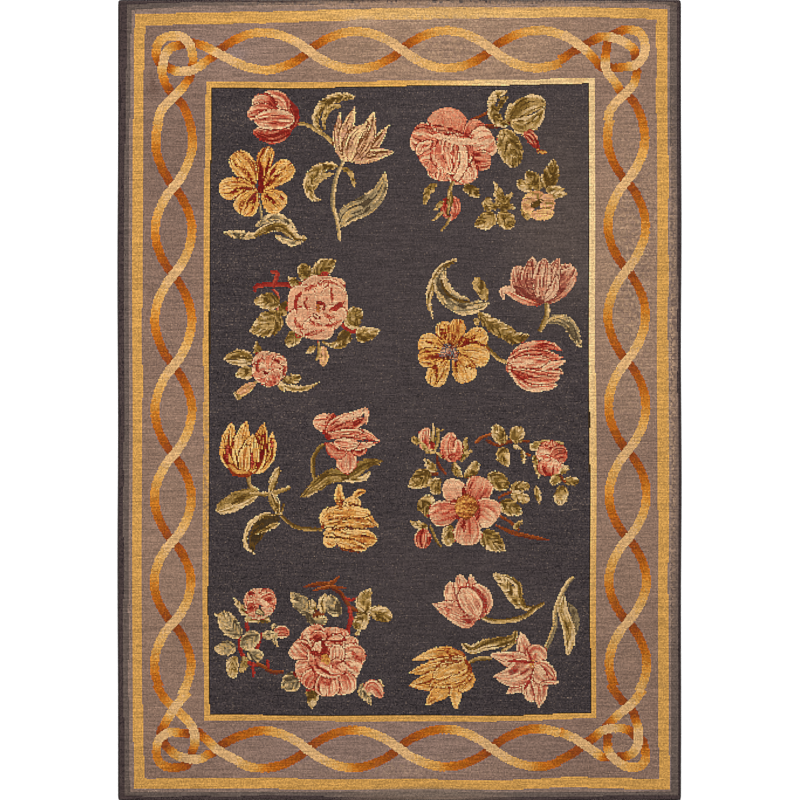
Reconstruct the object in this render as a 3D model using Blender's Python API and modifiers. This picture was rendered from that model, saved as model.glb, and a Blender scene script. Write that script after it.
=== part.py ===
"""A flat hand-knotted rug as one piece of cloth: clipped pile on its foundation, with an overcast edge.

Metres, +Z up. The origin is the centre of the underside and +Y runs along the rug's length. The pile, the
foundation and the overcasting are one solid, because the edge yarn is sewn through the cloth's own rim.
"""

import math
from typing import NamedTuple

import bmesh
import bpy
from mathutils import Vector

RUG_NAME = "hand_knotted_rug"
RUG_NODE = "rug"

# Driving dimensions of the cloth
RUG_WIDTH = 1.83
RUG_LENGTH = 2.60
RUG_THICKNESS = 0.008
PILE_SHOULDER = 0.002
SHOULDER_SEGMENTS = 3
CORNER_RADIUS = 0.005
CORNER_STEPS = 4

# The yarn whipped around the rim is a little lower than the pile and stands clear of the floor
OVERCAST_RADIUS = 0.0028
OVERCAST_FLOOR_GAP = 0.0002
OVERCAST_OVERHANG = 0.0007
OVERCAST_RING_RESOLUTION = 2

# How far apart the outline's points are, and how far each edge wanders from a straight line
OUTLINE_STEP = 0.055
RIPPLE_DEPTH = 0.0011
WELD_DISTANCE = 0.00001

# The cloth's overall colour, seen from across a room, and its dull woollen surface
WOOL_COLOUR = (0.115, 0.083, 0.052, 1.0)
WOOL_ROUGHNESS = 0.92


class Edge(NamedTuple):
    """One side of the rug, walked anticlockwise, and the way it wanders."""

    start: tuple[float, float]
    end: tuple[float, float]
    bow: float
    ripples: float
    phase: float


def rug_edges(half_width: float, half_length: float) -> list[Edge]:
    """The four sides of the cloth, corner to corner, each with its own slight bow and ripple."""
    right_front = (half_width, -half_length)
    right_back = (half_width, half_length)
    left_back = (-half_width, half_length)
    left_front = (-half_width, -half_length)
    return [
        Edge(start=right_front, end=right_back, bow=0.0012, ripples=3.0, phase=0.4),
        Edge(start=right_back, end=left_back, bow=0.0016, ripples=2.0, phase=1.9),
        Edge(start=left_back, end=left_front, bow=0.0015, ripples=2.5, phase=2.7),
        Edge(start=left_front, end=right_front, bow=0.0008, ripples=3.0, phase=0.9),
    ]


def wander(edge: Edge, share: float) -> float:
    """How far the side stands outwards at a share of its length. It is nought at both corners."""
    fade = math.sin(math.pi * share)
    ripple = math.sin(2 * math.pi * edge.ripples * share + edge.phase)
    return fade * (edge.bow + RIPPLE_DEPTH * ripple)


def edge_points(edge: Edge) -> list[Vector]:
    """Evenly spaced points along one side, between the roundings of its two corners."""
    start = Vector(edge.start)
    along = Vector(edge.end) - start
    outwards = Vector((along.y, -along.x)).normalized()
    run = along.length - 2 * CORNER_RADIUS
    count = round(run / OUTLINE_STEP)
    points = []
    for index in range(count + 1):
        share = (CORNER_RADIUS + run * index / count) / along.length
        points.append(start + along * share + outwards * wander(edge, share))
    return points


def corner_points(before: Vector, corner: Vector, after: Vector) -> list[Vector]:
    """The rounding between two sides, a parabola drawn towards the corner, without its end points."""
    points = []
    for index in range(1, CORNER_STEPS):
        t = index / CORNER_STEPS
        points.append(before * (1 - t) ** 2 + corner * 2 * t * (1 - t) + after * t**2)
    return points


def rug_outline(inset: float) -> list[Vector]:
    """The closed outline of the cloth at a distance inside its full size, centred on the origin."""
    half_width = RUG_WIDTH / 2 - inset
    half_length = RUG_LENGTH / 2 - inset
    edges = rug_edges(half_width, half_length)
    runs = [edge_points(edge) for edge in edges]
    outline = []
    for index, run in enumerate(runs):
        following = runs[(index + 1) % len(runs)]
        outline += run
        outline += corner_points(run[-1], Vector(edges[index].end), following[0])
    return fit_to_size(outline, half_width, half_length)


def fit_to_size(outline: list[Vector], half_width: float, half_length: float) -> list[Vector]:
    """Centres the outline and scales it a hair, so that its box has exactly the size asked for."""
    low = Vector((min(p.x for p in outline), min(p.y for p in outline)))
    high = Vector((max(p.x for p in outline), max(p.y for p in outline)))
    middle = (low + high) / 2
    span = high - low
    fit = Vector((2 * half_width / span.x, 2 * half_length / span.y))
    return [Vector(((p.x - middle.x) * fit.x, (p.y - middle.y) * fit.y)) for p in outline]


def closed_curve(name: str, outline: list[Vector], dimensions: str) -> bpy.types.Curve:
    """A closed straight-segment curve through the outline."""
    curve = bpy.data.curves.new(name, "CURVE")
    curve.dimensions = dimensions
    spline = curve.splines.new("POLY")
    spline.points.add(len(outline) - 1)
    for point, place in zip(spline.points, outline):
        point.co = (place.x, place.y, 0.0, 1.0)
    spline.use_cyclic_u = True
    return curve


def mesh_from_curve(curve_object: bpy.types.Object, collection: bpy.types.Collection) -> bpy.types.Object:
    """A mesh object in the curve object's place, with its loose caps welded on. The curve is removed."""
    bpy.context.view_layer.update()
    depsgraph = bpy.context.evaluated_depsgraph_get()
    mesh = bpy.data.meshes.new_from_object(curve_object.evaluated_get(depsgraph))
    welded = bmesh.new()
    welded.from_mesh(mesh)
    bmesh.ops.remove_doubles(welded, verts=welded.verts, dist=WELD_DISTANCE)
    bmesh.ops.recalc_face_normals(welded, faces=welded.faces)
    welded.to_mesh(mesh)
    welded.free()
    name = curve_object.name
    place = curve_object.matrix_world.copy()
    bpy.data.objects.remove(curve_object)
    made = bpy.data.objects.new(name, mesh)
    made.matrix_world = place
    collection.objects.link(made)
    return made


def make_pile_slab(collection: bpy.types.Collection) -> bpy.types.Object:
    """The cloth inside its overcast rim: a flat slab, whose top edge is clipped to a soft shoulder."""
    wall_inset = OVERCAST_RADIUS + OVERCAST_OVERHANG
    curve = closed_curve("pile_outline", rug_outline(wall_inset), "2D")
    curve.fill_mode = "BOTH"
    curve.extrude = RUG_THICKNESS / 2
    outline_object = bpy.data.objects.new(RUG_NODE, curve)
    outline_object.location.z = RUG_THICKNESS / 2
    collection.objects.link(outline_object)
    slab = mesh_from_curve(outline_object, collection)
    mark_top_rim(slab.data)
    shoulder = slab.modifiers.new("pile_shoulder", "BEVEL")
    shoulder.limit_method = "WEIGHT"
    shoulder.width = PILE_SHOULDER
    shoulder.segments = SHOULDER_SEGMENTS
    return slab


def mark_top_rim(mesh: bpy.types.Mesh) -> None:
    """Gives full bevel weight to the edges between the top face and the walls."""
    rim = bmesh.new()
    rim.from_mesh(mesh)
    weight = rim.edges.layers.float.new("bevel_weight_edge")
    for edge in rim.edges:
        at_top = all(vert.co.z > 0 for vert in edge.verts)
        turns = len(edge.link_faces) == 2 and edge.calc_face_angle() > math.radians(45)
        edge[weight] = 1.0 if at_top and turns else 0.0
    rim.to_mesh(mesh)
    rim.free()


def make_overcast_rim(collection: bpy.types.Collection) -> bpy.types.Object:
    """The yarn-whipped edge, as a round cord that runs around the cloth's wall."""
    curve = closed_curve("overcast_rim", rug_outline(OVERCAST_RADIUS), "3D")
    curve.bevel_depth = OVERCAST_RADIUS
    curve.bevel_resolution = OVERCAST_RING_RESOLUTION
    rim_curve = bpy.data.objects.new("overcast_rim", curve)
    rim_curve.location.z = OVERCAST_RADIUS + OVERCAST_FLOOR_GAP
    collection.objects.link(rim_curve)
    rim = mesh_from_curve(rim_curve, collection)
    rim.hide_render = True
    rim.display_type = "WIRE"
    return rim


def join_solids(body: bpy.types.Object, added: bpy.types.Object) -> None:
    """Makes the added solid one with the body."""
    joined = body.modifiers.new("with_" + added.name, "BOOLEAN")
    joined.operation = "UNION"
    joined.solver = "EXACT"
    joined.object = added


def wool_material() -> bpy.types.Material:
    """Dull wool in the cloth's overall colour."""
    material = bpy.data.materials.new("wool_pile")
    material.use_nodes = True
    shader = material.node_tree.nodes["Principled BSDF"]
    shader.inputs["Base Color"].default_value = WOOL_COLOUR
    shader.inputs["Roughness"].default_value = WOOL_ROUGHNESS
    shader.inputs["Metallic"].default_value = 0.0
    material.diffuse_color = WOOL_COLOUR
    return material


def main() -> None:
    """Builds the rug in an empty scene."""
    for leftover in list(bpy.data.objects):
        bpy.data.objects.remove(leftover)
    rug_collection = bpy.data.collections.new(RUG_NAME)
    guide_collection = bpy.data.collections.new("guides")
    bpy.context.scene.collection.children.link(rug_collection)
    bpy.context.scene.collection.children.link(guide_collection)
    rug = make_pile_slab(rug_collection)
    rug.data.materials.append(wool_material())
    join_solids(rug, make_overcast_rim(guide_collection))


main()
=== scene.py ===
"""The hand-knotted rug, dressed: a charted wool pile on a woven foundation, with an overcast edge.

Metres, +Z up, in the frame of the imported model: the origin is the centre of the underside, and +Y runs
along the rug's length, to the end that is at the top of the photograph. The design is charted knot by knot
when the script runs, from petals, leaves, stems, ribbons and bands, each given by a few points and shades.
"""

import logging
import math
from dataclasses import dataclass
from enum import Enum
from functools import partial

import bmesh
import bpy
import numpy as np
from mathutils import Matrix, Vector


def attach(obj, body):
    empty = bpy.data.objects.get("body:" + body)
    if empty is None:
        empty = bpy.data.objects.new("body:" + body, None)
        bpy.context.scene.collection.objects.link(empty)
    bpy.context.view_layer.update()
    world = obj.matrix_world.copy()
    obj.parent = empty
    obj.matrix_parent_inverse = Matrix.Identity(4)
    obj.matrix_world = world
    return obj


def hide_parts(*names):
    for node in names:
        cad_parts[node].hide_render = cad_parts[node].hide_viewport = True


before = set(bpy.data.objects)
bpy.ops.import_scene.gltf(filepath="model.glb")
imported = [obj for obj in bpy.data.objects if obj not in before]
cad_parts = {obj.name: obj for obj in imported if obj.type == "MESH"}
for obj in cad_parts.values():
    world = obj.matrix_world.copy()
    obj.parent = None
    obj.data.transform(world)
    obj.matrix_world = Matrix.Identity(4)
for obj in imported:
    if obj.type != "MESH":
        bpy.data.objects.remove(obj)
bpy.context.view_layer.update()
LOG = logging.getLogger("rug")

Piece = bpy.types.Object
Material = bpy.types.Material
Socket = bpy.types.NodeSocket
Links = dict[str | int, object]
Place = tuple[float, float]
Numbers = tuple[float, ...]
Grid = np.ndarray
Window = tuple[slice, slice]
Colour = tuple[float, float, float, float]
WHOLE_SHEET: Window = (slice(None), slice(None))

# The cloth, and the sheet that its design is charted on. A step of the sheet is 3.25 mm, so that its
# numbers are those of the photograph's frame, with the rug's left and right edges where they are there.
RUG_WIDTH = 1.83
RUG_LENGTH = 2.60
RUG_THICKNESS = 0.008
SHEET_LOW: Place = (118.0, 0.0)
SHEET_HIGH: Place = (681.0, 800.0)
KNOT_COLUMNS = 480
KNOT_ROWS = 684


class Yarn(Enum):
    """A dyed yarn, as the red, green and blue that it shows in daylight, each from 0 to 255."""

    EDGE_BLACK = (56, 46, 47)
    EDGE_BROWN = (74, 61, 60)
    EDGE_GREY = (102, 88, 81)
    EDGE_GREY_PALE = (118, 103, 92)
    EDGE_ROSE = (138, 115, 103)
    EDGE_ROSE_PALE = (156, 132, 116)
    GOLD_DEEP = (198, 146, 76)
    GOLD = (205, 153, 80)
    GOLD_PALE = (214, 165, 92)
    GROUND_DEEP = (112, 90, 83)
    GROUND_DARK = (127, 102, 90)
    GROUND = (138, 110, 95)
    GROUND_PALE = (149, 120, 102)
    GROUND_WORN = (176, 145, 118)
    GROUND_LILAC = (146, 124, 118)
    GROUND_COOL = (142, 117, 107)
    GROUND_SMUDGE = (94, 70, 60)
    GROUND_TAN = (150, 120, 101)
    GROUND_SUNNED = (166, 133, 107)
    GILT_FADED = (232, 198, 148)
    FIELD_DARK = (46, 40, 42)
    FIELD_DEEP = (57, 50, 52)
    FIELD = (67, 59, 60)
    FIELD_PALE = (78, 68, 67)
    FIELD_WARM = (86, 74, 69)
    FIELD_WORN = (98, 85, 79)
    FIELD_BARE = (126, 108, 94)
    RUST_DEEP = (146, 70, 26)
    RUSSET = (163, 84, 23)
    RUST = (179, 98, 25)
    ORANGE = (193, 116, 35)
    MARIGOLD = (203, 136, 55)
    AMBER = (209, 152, 76)
    STRAW = (212, 162, 94)
    WHEAT = (214, 169, 115)
    CREAM = (228, 190, 134)
    WINE = (108, 24, 20)
    CRIMSON = (128, 34, 26)
    RED = (152, 46, 36)
    VERMILION = (170, 68, 48)
    CORAL = (186, 92, 68)
    SALMON = (197, 116, 84)
    PINK = (205, 135, 101)
    SHELL = (211, 154, 116)
    BLUSH = (222, 176, 136)
    MAUVE_DEEP = (126, 56, 44)
    MAUVE = (152, 84, 66)
    DUSTY_ROSE = (186, 119, 89)
    DUSTY_BEIGE = (196, 144, 112)
    DUSTY_PALE = (212, 166, 130)
    BRICK = (136, 52, 24)
    SIENNA = (126, 60, 24)
    BARK = (94, 42, 28)
    UMBER = (118, 70, 38)
    COPPER = (164, 90, 42)
    HONEY = (184, 118, 54)
    YELLOW = (205, 145, 72)
    PRIMROSE = (220, 172, 108)
    TAN = (178, 126, 86)
    BEIGE = (207, 161, 114)
    PEACH_DEEP = (182, 126, 80)
    PEACH = (200, 148, 98)
    OLIVE_BLACK = (66, 50, 30)
    OLIVE_DEEP = (90, 64, 26)
    OLIVE = (117, 87, 38)
    MOSS = (142, 110, 54)
    KHAKI = (164, 129, 74)
    SAND = (187, 151, 95)
    REED = (208, 174, 126)
    SAGE_DARK = (84, 68, 48)
    SAGE_DEEP = (110, 92, 64)
    SAGE = (134, 114, 82)
    SAGE_PALE = (160, 136, 98)
    SLATE = (104, 98, 94)

    @property
    def daylight(self) -> Grid:
        """Its colour from 0 to 1."""
        return np.array(self.value) / 255.0


class Run(Enum):
    """The yarns that shade one kind of form, by name, from dark to light."""

    BLACK = "EDGE_BLACK EDGE_BLACK EDGE_BROWN"
    BROWN = "EDGE_BLACK EDGE_BROWN EDGE_BROWN EDGE_GREY"
    GREY = "EDGE_BROWN EDGE_GREY EDGE_GREY EDGE_GREY_PALE"
    LAVENDER = "EDGE_GREY EDGE_ROSE EDGE_ROSE EDGE_ROSE_PALE"
    GILT = "GOLD_DEEP GOLD_DEEP GOLD GOLD GOLD_PALE"
    TAUPE = "GROUND_DEEP GROUND_DARK GROUND GROUND GROUND_PALE GROUND_WORN"
    CHARCOAL = "FIELD_DARK FIELD_DEEP FIELD FIELD FIELD_PALE FIELD_WORN"
    RIBBON = "RUST_DEEP RUSSET RUST ORANGE MARIGOLD AMBER STRAW WHEAT"
    RED = "CRIMSON RED VERMILION CORAL SALMON PINK SHELL BLUSH"
    ROSE = "CRIMSON VERMILION CORAL SALMON PINK SHELL BLUSH"
    PALE_ROSE = "RED VERMILION SALMON PINK SHELL SHELL BLUSH"
    PEACH = "MOSS PEACH_DEEP PEACH_DEEP PEACH SHELL PRIMROSE"
    PLUM = "MAUVE_DEEP MAUVE MAUVE DUSTY_ROSE DUSTY_BEIGE DUSTY_PALE"
    DUSTY = "RED MAUVE CORAL DUSTY_ROSE PINK SHELL BLUSH"
    LILY = "UMBER UMBER TAN DUSTY_BEIGE BEIGE BEIGE CREAM"
    FLAME = "WINE CRIMSON BRICK HONEY YELLOW YELLOW PRIMROSE CREAM"
    FLAME_PALE = "CRIMSON BRICK COPPER YELLOW YELLOW YELLOW PRIMROSE"
    FIRE = "WINE CRIMSON BRICK HONEY YELLOW YELLOW PRIMROSE"
    BUTTER = "BARK SIENNA COPPER HONEY YELLOW YELLOW PRIMROSE PRIMROSE"
    APRICOT = "BRICK COPPER HONEY YELLOW YELLOW PRIMROSE"
    POLLEN = "SIENNA COPPER COPPER HONEY YELLOW"
    STONE = "BARK SLATE MAUVE SLATE TAN DUSTY_BEIGE"
    REED = "OLIVE_DEEP OLIVE MOSS KHAKI SAND REED"
    OLIVE = "OLIVE_DEEP OLIVE MOSS KHAKI SAND"
    SHADE = "OLIVE_BLACK OLIVE_BLACK OLIVE_DEEP"
    GOLD_LEAF = "OLIVE_DEEP OLIVE OLIVE MOSS KHAKI KHAKI SAND REED"
    SAGE = "SAGE_DARK SAGE_DEEP SAGE SAGE_PALE SAND REED"
    DULL_GREEN = "SAGE_DARK SAGE_DEEP SAGE"
    STRAW_STEM = "OLIVE_DEEP OLIVE KHAKI SAND REED"
    REED_STEM = "SAGE_DEEP SAGE SAND REED"
    TWIG_RED = "CRIMSON RED RED VERMILION"
    TWIG_RUST = "BARK SIENNA SIENNA COPPER"

    @property
    def colours(self) -> Grid:
        """One row of red, green and blue for each yarn, from 0 to 1."""
        return np.array([Yarn[name].daylight for name in self.value.split()])


class Form(Enum):
    """How a blade's width runs from its root to its tip: the exponents of its two ends."""

    OVAL = (0.5, 0.5)
    ROUND_TIP = (0.8, 0.38)
    LEAF = (0.55, 0.85)
    LANCE = (0.5, 1.1)
    DROP = (0.38, 0.9)
    STRAP = (0.12, 0.12)
    TAPER = (0.1, 0.7)

    def half_width(self, along: Grid) -> Grid:
        """The half width at each place.

        Args:
            along: The places, as shares of the length.

        Returns:
            The half widths, as shares of the widest.
        """
        root, tip = self.value
        peak = root / (root + tip)
        widest = peak**root * (1 - peak) ** tip
        held = np.clip(along, 0.001, 0.999)
        return held**root * (1 - held) ** tip / widest


class Hatch(Enum):
    """Which way the darker and paler stitches of a blade run."""

    ALONG = 0
    HERRINGBONE = 1
    WAVED = 2


# Large odd numbers that spread neighbouring places far apart, and the 32 bits that are kept of them
SPREAD_COLUMN, SPREAD_ROW, SPREAD_SEED = 374761393, 668265263, 2246822519
SPREAD_FIRST, SPREAD_SECOND = 1274126177, 2654435761
WORD = 0xFFFFFFFF


def scatter(column: Grid, row: Grid, seed: int) -> Grid:
    """A settled random number for each whole-numbered place.

    Args:
        column: Whole numbers across.
        row: Whole numbers along.
        seed: Which of the many patterns.

    Returns:
        Numbers from 0 to 1.
    """
    mixed = column.astype(np.int64) * SPREAD_COLUMN + row.astype(np.int64) * SPREAD_ROW + seed * SPREAD_SEED
    mixed &= WORD
    mixed = ((mixed ^ (mixed >> 13)) * SPREAD_FIRST) & WORD
    mixed = ((mixed ^ (mixed >> 16)) * SPREAD_SECOND) & WORD
    return ((mixed ^ (mixed >> 15)) & 0xFFFFFF) / float(0x1000000)


def drift(across: Grid, along: Grid, seed: int) -> Grid:
    """A smooth random number whose swells are one unit wide each way.

    Args:
        across: Places across.
        along: Places along.
        seed: Which of the many patterns.

    Returns:
        Numbers from 0 to 1.
    """
    left, low = np.floor(across), np.floor(along)
    share_x, share_y = across - left, along - low
    share_x = share_x * share_x * (3 - 2 * share_x)
    share_y = share_y * share_y * (3 - 2 * share_y)
    near = scatter(left, low, seed) * (1 - share_x) + scatter(left + 1, low, seed) * share_x
    far = scatter(left, low + 1, seed) * (1 - share_x) + scatter(left + 1, low + 1, seed) * share_x
    return near * (1 - share_y) + far * share_y


def smooth_line(numbers: Numbers, each: int, per_span: int) -> Grid:
    """A smooth line through points of two or more numbers each.

    Args:
        numbers: The numbers of all the points that it passes through, in turn.
        each: How many numbers a point has.
        per_span: How many steps it takes from one point to the next.

    Returns:
        One row for each place of the line.
    """
    knots = np.reshape(np.array(numbers, float), (-1, each))
    if len(knots) == 2:
        share = np.linspace(0, 1, per_span + 1)[:, None]
        return knots[0] * (1 - share) + knots[1] * share
    padded = np.vstack([2 * knots[0] - knots[1], knots, 2 * knots[-1] - knots[-2]])
    made = []
    for before, start, end, after in zip(padded[:-3], padded[1:-2], padded[2:-1], padded[3:]):
        t = np.linspace(0, 1, per_span, endpoint=False)[:, None]
        square = 2 * before - 5 * start + 4 * end - after
        cube = 3 * start - before - 3 * end + after
        made.append(start + 0.5 * ((end - before) * t + (square * t**2 + cube * t**3)))
    return np.vstack([*made, knots[-1:]])


def line_places(line: Grid, x: Grid, y: Grid) -> tuple[Grid, Grid]:
    """Where each knot is by a line.

    Args:
        line: The line's places.
        x: The knots' places across the sheet.
        y: The knots' places down the sheet.

    Returns:
        The share of the line's length, and the distance from it, which is positive to its left.
    """
    start, step = line[:-1, :2], np.diff(line[:, :2], axis=0)
    length = np.maximum(np.hypot(step[:, 0], step[:, 1]), 1e-9)
    passed = np.concatenate([[0.0], np.cumsum(length)])
    offset_x, offset_y = x[..., None] - start[:, 0], y[..., None] - start[:, 1]
    share = (offset_x * step[:, 0] + offset_y * step[:, 1]) / length**2
    held = np.clip(share, 0, 1)
    away = np.hypot(offset_x - held * step[:, 0], offset_y - held * step[:, 1])
    nearest = np.argmin(away, axis=-1)
    chosen = nearest[..., None]
    turn = np.take_along_axis(offset_x * step[:, 1] - offset_y * step[:, 0], chosen, -1)[..., 0]
    share = np.take_along_axis(share, chosen, -1)[..., 0]
    lowest = np.where(nearest == 0, -np.inf, 0.0)
    highest = np.where(nearest == len(length) - 1, np.inf, 1.0)
    along = (passed[nearest] + np.clip(share, lowest, highest) * length[nearest]) / passed[-1]
    return along, np.sign(turn) * np.take_along_axis(away, chosen, -1)[..., 0]


class Chart:
    """The pattern as it is charted for the knotter: one colour for each knot."""

    def __init__(self, columns: int, rows: int) -> None:
        """Starts a bare chart over the whole sheet.

        Args:
            columns: Knots across.
            rows: Knots along.
        """
        self.columns, self.rows = columns, rows
        self.pitch = ((SHEET_HIGH[0] - SHEET_LOW[0]) / columns, (SHEET_HIGH[1] - SHEET_LOW[1]) / rows)
        self.number_x, self.number_y = np.meshgrid(np.arange(columns), np.arange(rows))
        self.x = SHEET_LOW[0] + (self.number_x + 0.5) * self.pitch[0]
        self.y = SHEET_LOW[1] + (self.number_y + 0.5) * self.pitch[1]
        self.colour = np.zeros((rows, columns, 3))
        self.motif = np.zeros((rows, columns), bool)
        self.band = np.full((rows, columns), -1)

    def window(self, line: Grid, reach: float) -> Window:
        """The rows and columns of knots around a line.

        Args:
            line: The line's places.
            reach: How far around it.

        Returns:
            The slices of rows and columns.
        """
        low, high = line[:, :2].min(0) - reach, line[:, :2].max(0) + reach
        first = [math.floor((low[axis] - SHEET_LOW[axis]) / self.pitch[axis]) for axis in (0, 1)]
        last = [math.ceil((high[axis] - SHEET_LOW[axis]) / self.pitch[axis]) for axis in (0, 1)]
        columns = slice(max(0, first[0]), max(0, min(self.columns, last[0])))
        rows = slice(max(0, first[1]), max(0, min(self.rows, last[1])))
        return rows, columns

    def grain(self, window: Window, seed: int) -> Grid:
        """A random number from -1 to 1 for each knot of a window.

        Args:
            window: The rows and columns.
            seed: Which of the many patterns.

        Returns:
            The numbers.
        """
        return 2 * scatter(self.number_x[window], self.number_y[window], seed) - 1

    def lay(self, window: Window, inside: Grid, run: Run, tone: Grid) -> None:
        """Gives each inside knot of the window the yarn that its tone falls in.

        Args:
            window: The rows and columns.
            inside: Which of its knots are charted.
            run: The yarns to choose from.
            tone: From 0, the darkest, to 1, the palest.
        """
        yarns = run.colours
        steps = np.clip((tone * len(yarns)).astype(int), 0, len(yarns) - 1)
        self.colour[window][inside] = yarns[steps[inside]]


# How the stitches of every petal, leaf and stem lie. Lengths are in steps of the sheet.
LINE_STEPS = 8
LEAST_HALF_WIDTH = 0.62
EDGE_SWELL = 1.5
CLOUD_SWELL = 1.3
RIM_DEPTH = 2.1
STREAK_CONTRAST = 4
END_MARGIN = 0.005
SHADE_FROM_ROOT = 0.12
SHADE_GAPS = -0.8
SHADE_GRAIN = 0.1
HERRINGBONE_SLOPE = 1.1
HERRINGBONE_SPREAD = 1.6
HERRINGBONE_LENGTH = 3.5
SWAY = 2.6
SWAY_SWELL = 4.5


@dataclass(frozen=True)
class Blade:
    """A petal, leaf or stem: a smooth middle line with a width, shaded along and across.

    The path has the x and y of each of its places in turn, from root to tip. Positive `side` lightens
    the left of the line, `rim` the outermost knots, `flame` darkens the heart, and `veins` are hard dark
    stitches that follow the hatch. `broken` is the share of knots left out, and `shade_line` how wide the
    dark line is where another blade lies under this one.
    """

    path: Numbers
    width: float
    root_tone: float = 0.25
    tip_tone: float = 0.8
    form: Form = Form.ROUND_TIP
    run: Run = Run.REED
    side: float = 0.0
    rim: float = 0.3
    flame: float = 0.0
    veins: float = 0.3
    vein_share: float = 0.28
    streaks: float = 0.28
    stroke: float = 1.6
    stroke_length: float = 10.0
    hatch: Hatch = Hatch.ALONG
    grain: float = 0.05
    clouds: float = 0.1
    ragged: float = 1.3
    shade_line: float = 0.0
    shade_tone: float = 0.1
    broken: float = 0.0

    def paint(self, chart: Chart, seed: int) -> None:
        """Charts the blade over what is there.

        Args:
            chart: The chart.
            seed: Its own number, so that no two blades are stitched alike.
        """
        line = smooth_line(self.path, 2, LINE_STEPS)
        length = float(np.hypot(*np.diff(line, axis=0).T).sum())
        window = chart.window(line, self.width / 2 + 2)
        x, y = chart.x[window], chart.y[window]
        if x.size == 0:
            return
        along, across = line_places(line, x, y)
        half = np.maximum(self.width / 2 * self.form.half_width(along), LEAST_HALF_WIDTH)
        edge = half - np.abs(across) - self.ragged * (drift(x / EDGE_SWELL, y / EDGE_SWELL, seed) - 0.5)
        inside = (edge > 0) & (along > -END_MARGIN) & (along < 1 + END_MARGIN)
        held, share = np.clip(along, 0, 1), across / half
        lane, reach = self.lanes(share, held * length, x, y, seed)
        weave = drift(lane, reach, seed + 1)
        coarse = drift(x / CLOUD_SWELL, y / CLOUD_SWELL, seed + 3) - 0.5
        tone = self.root_tone + (self.tip_tone - self.root_tone) * held
        tone += self.side * share + self.rim * np.clip(RIM_DEPTH - edge, 0, 1)
        tone -= self.flame * (1 - np.clip(np.abs(share), 0, 1)) * (1 - held) ** 0.7
        tone += self.streaks * np.clip((weave - 0.5) * STREAK_CONTRAST, -1, 1) + self.clouds * coarse
        tone -= self.veins * (drift(lane + 50, reach + 9, seed + 5) < self.vein_share)
        grain = chart.grain(window, seed + 2)
        around = (edge > -self.shade_line) & ~inside & chart.motif[window] & (along > SHADE_FROM_ROOT)
        chart.lay(window, around & (grain > SHADE_GAPS), self.run, self.shade_tone + SHADE_GRAIN * grain)
        inside &= drift(lane * 1.4 + 9, reach * 2.2 + 5, seed + 7) >= self.broken
        chart.lay(window, inside, self.run, tone + self.grain * grain)
        chart.motif[window] |= inside

    def lanes(self, share: Grid, passed: Grid, x: Grid, y: Grid, seed: int) -> tuple[Grid, Grid]:
        """The two directions of the hatching.

        Args:
            share: Place across, as a share of the half width.
            passed: Length passed from the root.
            x: Place across the sheet.
            y: Place down the sheet.
            seed: The blade's own number.

        Returns:
            The number of the stroke, and the place along it, both to be read by drift.
        """
        across = share * self.width / 2
        if self.hatch is Hatch.HERRINGBONE:
            lane = (passed - HERRINGBONE_SLOPE * np.abs(across)) / self.stroke / HERRINGBONE_SPREAD
            return lane, across / HERRINGBONE_LENGTH + 60
        sway = 0.0
        if self.hatch is Hatch.WAVED:
            sway = SWAY * drift(x / SWAY_SWELL, y / SWAY_SWELL, seed + 11)
        return across / self.stroke + sway + 40, (passed + 2 * sway) / self.stroke_length + 7


@dataclass(frozen=True)
class Petal(Blade):
    """A petal, in long shaded stitches with a pale rim and a dark line where it lies over another."""

    stroke: float = 1.3
    shade_line: float = 1.5


@dataclass(frozen=True)
class Accent(Blade):
    """A short line of darker stitches, broken where the petal under it shows through."""

    root_tone: float = 0.2
    tip_tone: float = 0.3
    form: Form = Form.OVAL
    rim: float = 0.0
    veins: float = 0.0
    streaks: float = 0.15
    grain: float = 0.2
    ragged: float = 1.7
    broken: float = 0.2


@dataclass(frozen=True)
class Leaf(Blade):
    """A leaf, with a pale uneven rim around a darker, hatched heart."""

    root_tone: float = 0.4
    tip_tone: float = 0.5
    form: Form = Form.LEAF
    side: float = 0.28
    rim: float = 0.36
    flame: float = 0.06
    veins: float = 0.48
    vein_share: float = 0.33
    ragged: float = 2.0
    hatch: Hatch = Hatch.HERRINGBONE


@dataclass(frozen=True)
class Stem(Blade):
    """A stem or twig, paler along one side."""

    root_tone: float = 0.45
    tip_tone: float = 0.5
    form: Form = Form.STRAP
    run: Run = Run.STRAW_STEM
    side: float = 0.32
    rim: float = 0.0
    veins: float = 0.15
    streaks: float = 0.12
    ragged: float = 0.8


@dataclass(frozen=True)
class Spray:
    """One group of flowers, with its stems and leaves, in the order that they are laid over each other."""

    name: str
    blades: tuple[Blade, ...]

    def paint(self, chart: Chart, seed: int) -> None:
        """Charts the whole group.

        Args:
            chart: The chart.
            seed: Its own number.
        """
        for index, blade in enumerate(self.blades):
            blade.paint(chart, seed=seed + 13 * index)


# The petals, leaves, lines and stems that the sprays are made of, each in its own run of yarns
rose_oval = partial(Petal, run=Run.ROSE, form=Form.OVAL)
rose_petal = partial(Petal, run=Run.ROSE)
red_oval = partial(Petal, run=Run.RED, form=Form.OVAL)
flame_petal = partial(Petal, run=Run.FLAME_PALE, veins=0.6)
butter_oval = partial(Petal, run=Run.BUTTER, form=Form.OVAL)
dusty_oval = partial(Petal, run=Run.DUSTY, form=Form.OVAL, veins=0.2)
dusty_petal = partial(Petal, run=Run.DUSTY, veins=0.35)
plum_petal = partial(Petal, run=Run.PLUM)
apricot_petal = partial(Petal, run=Run.APRICOT)
rose_point = partial(Petal, run=Run.ROSE, form=Form.LEAF)
peach_oval = partial(Petal, run=Run.PEACH, form=Form.OVAL)
lily_point = partial(Petal, run=Run.LILY, form=Form.LEAF, veins=0.5, vein_share=0.36)
pale_oval = partial(Petal, run=Run.PALE_ROSE, form=Form.OVAL, veins=0.12, streaks=0.12, hatch=Hatch.WAVED)
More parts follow.
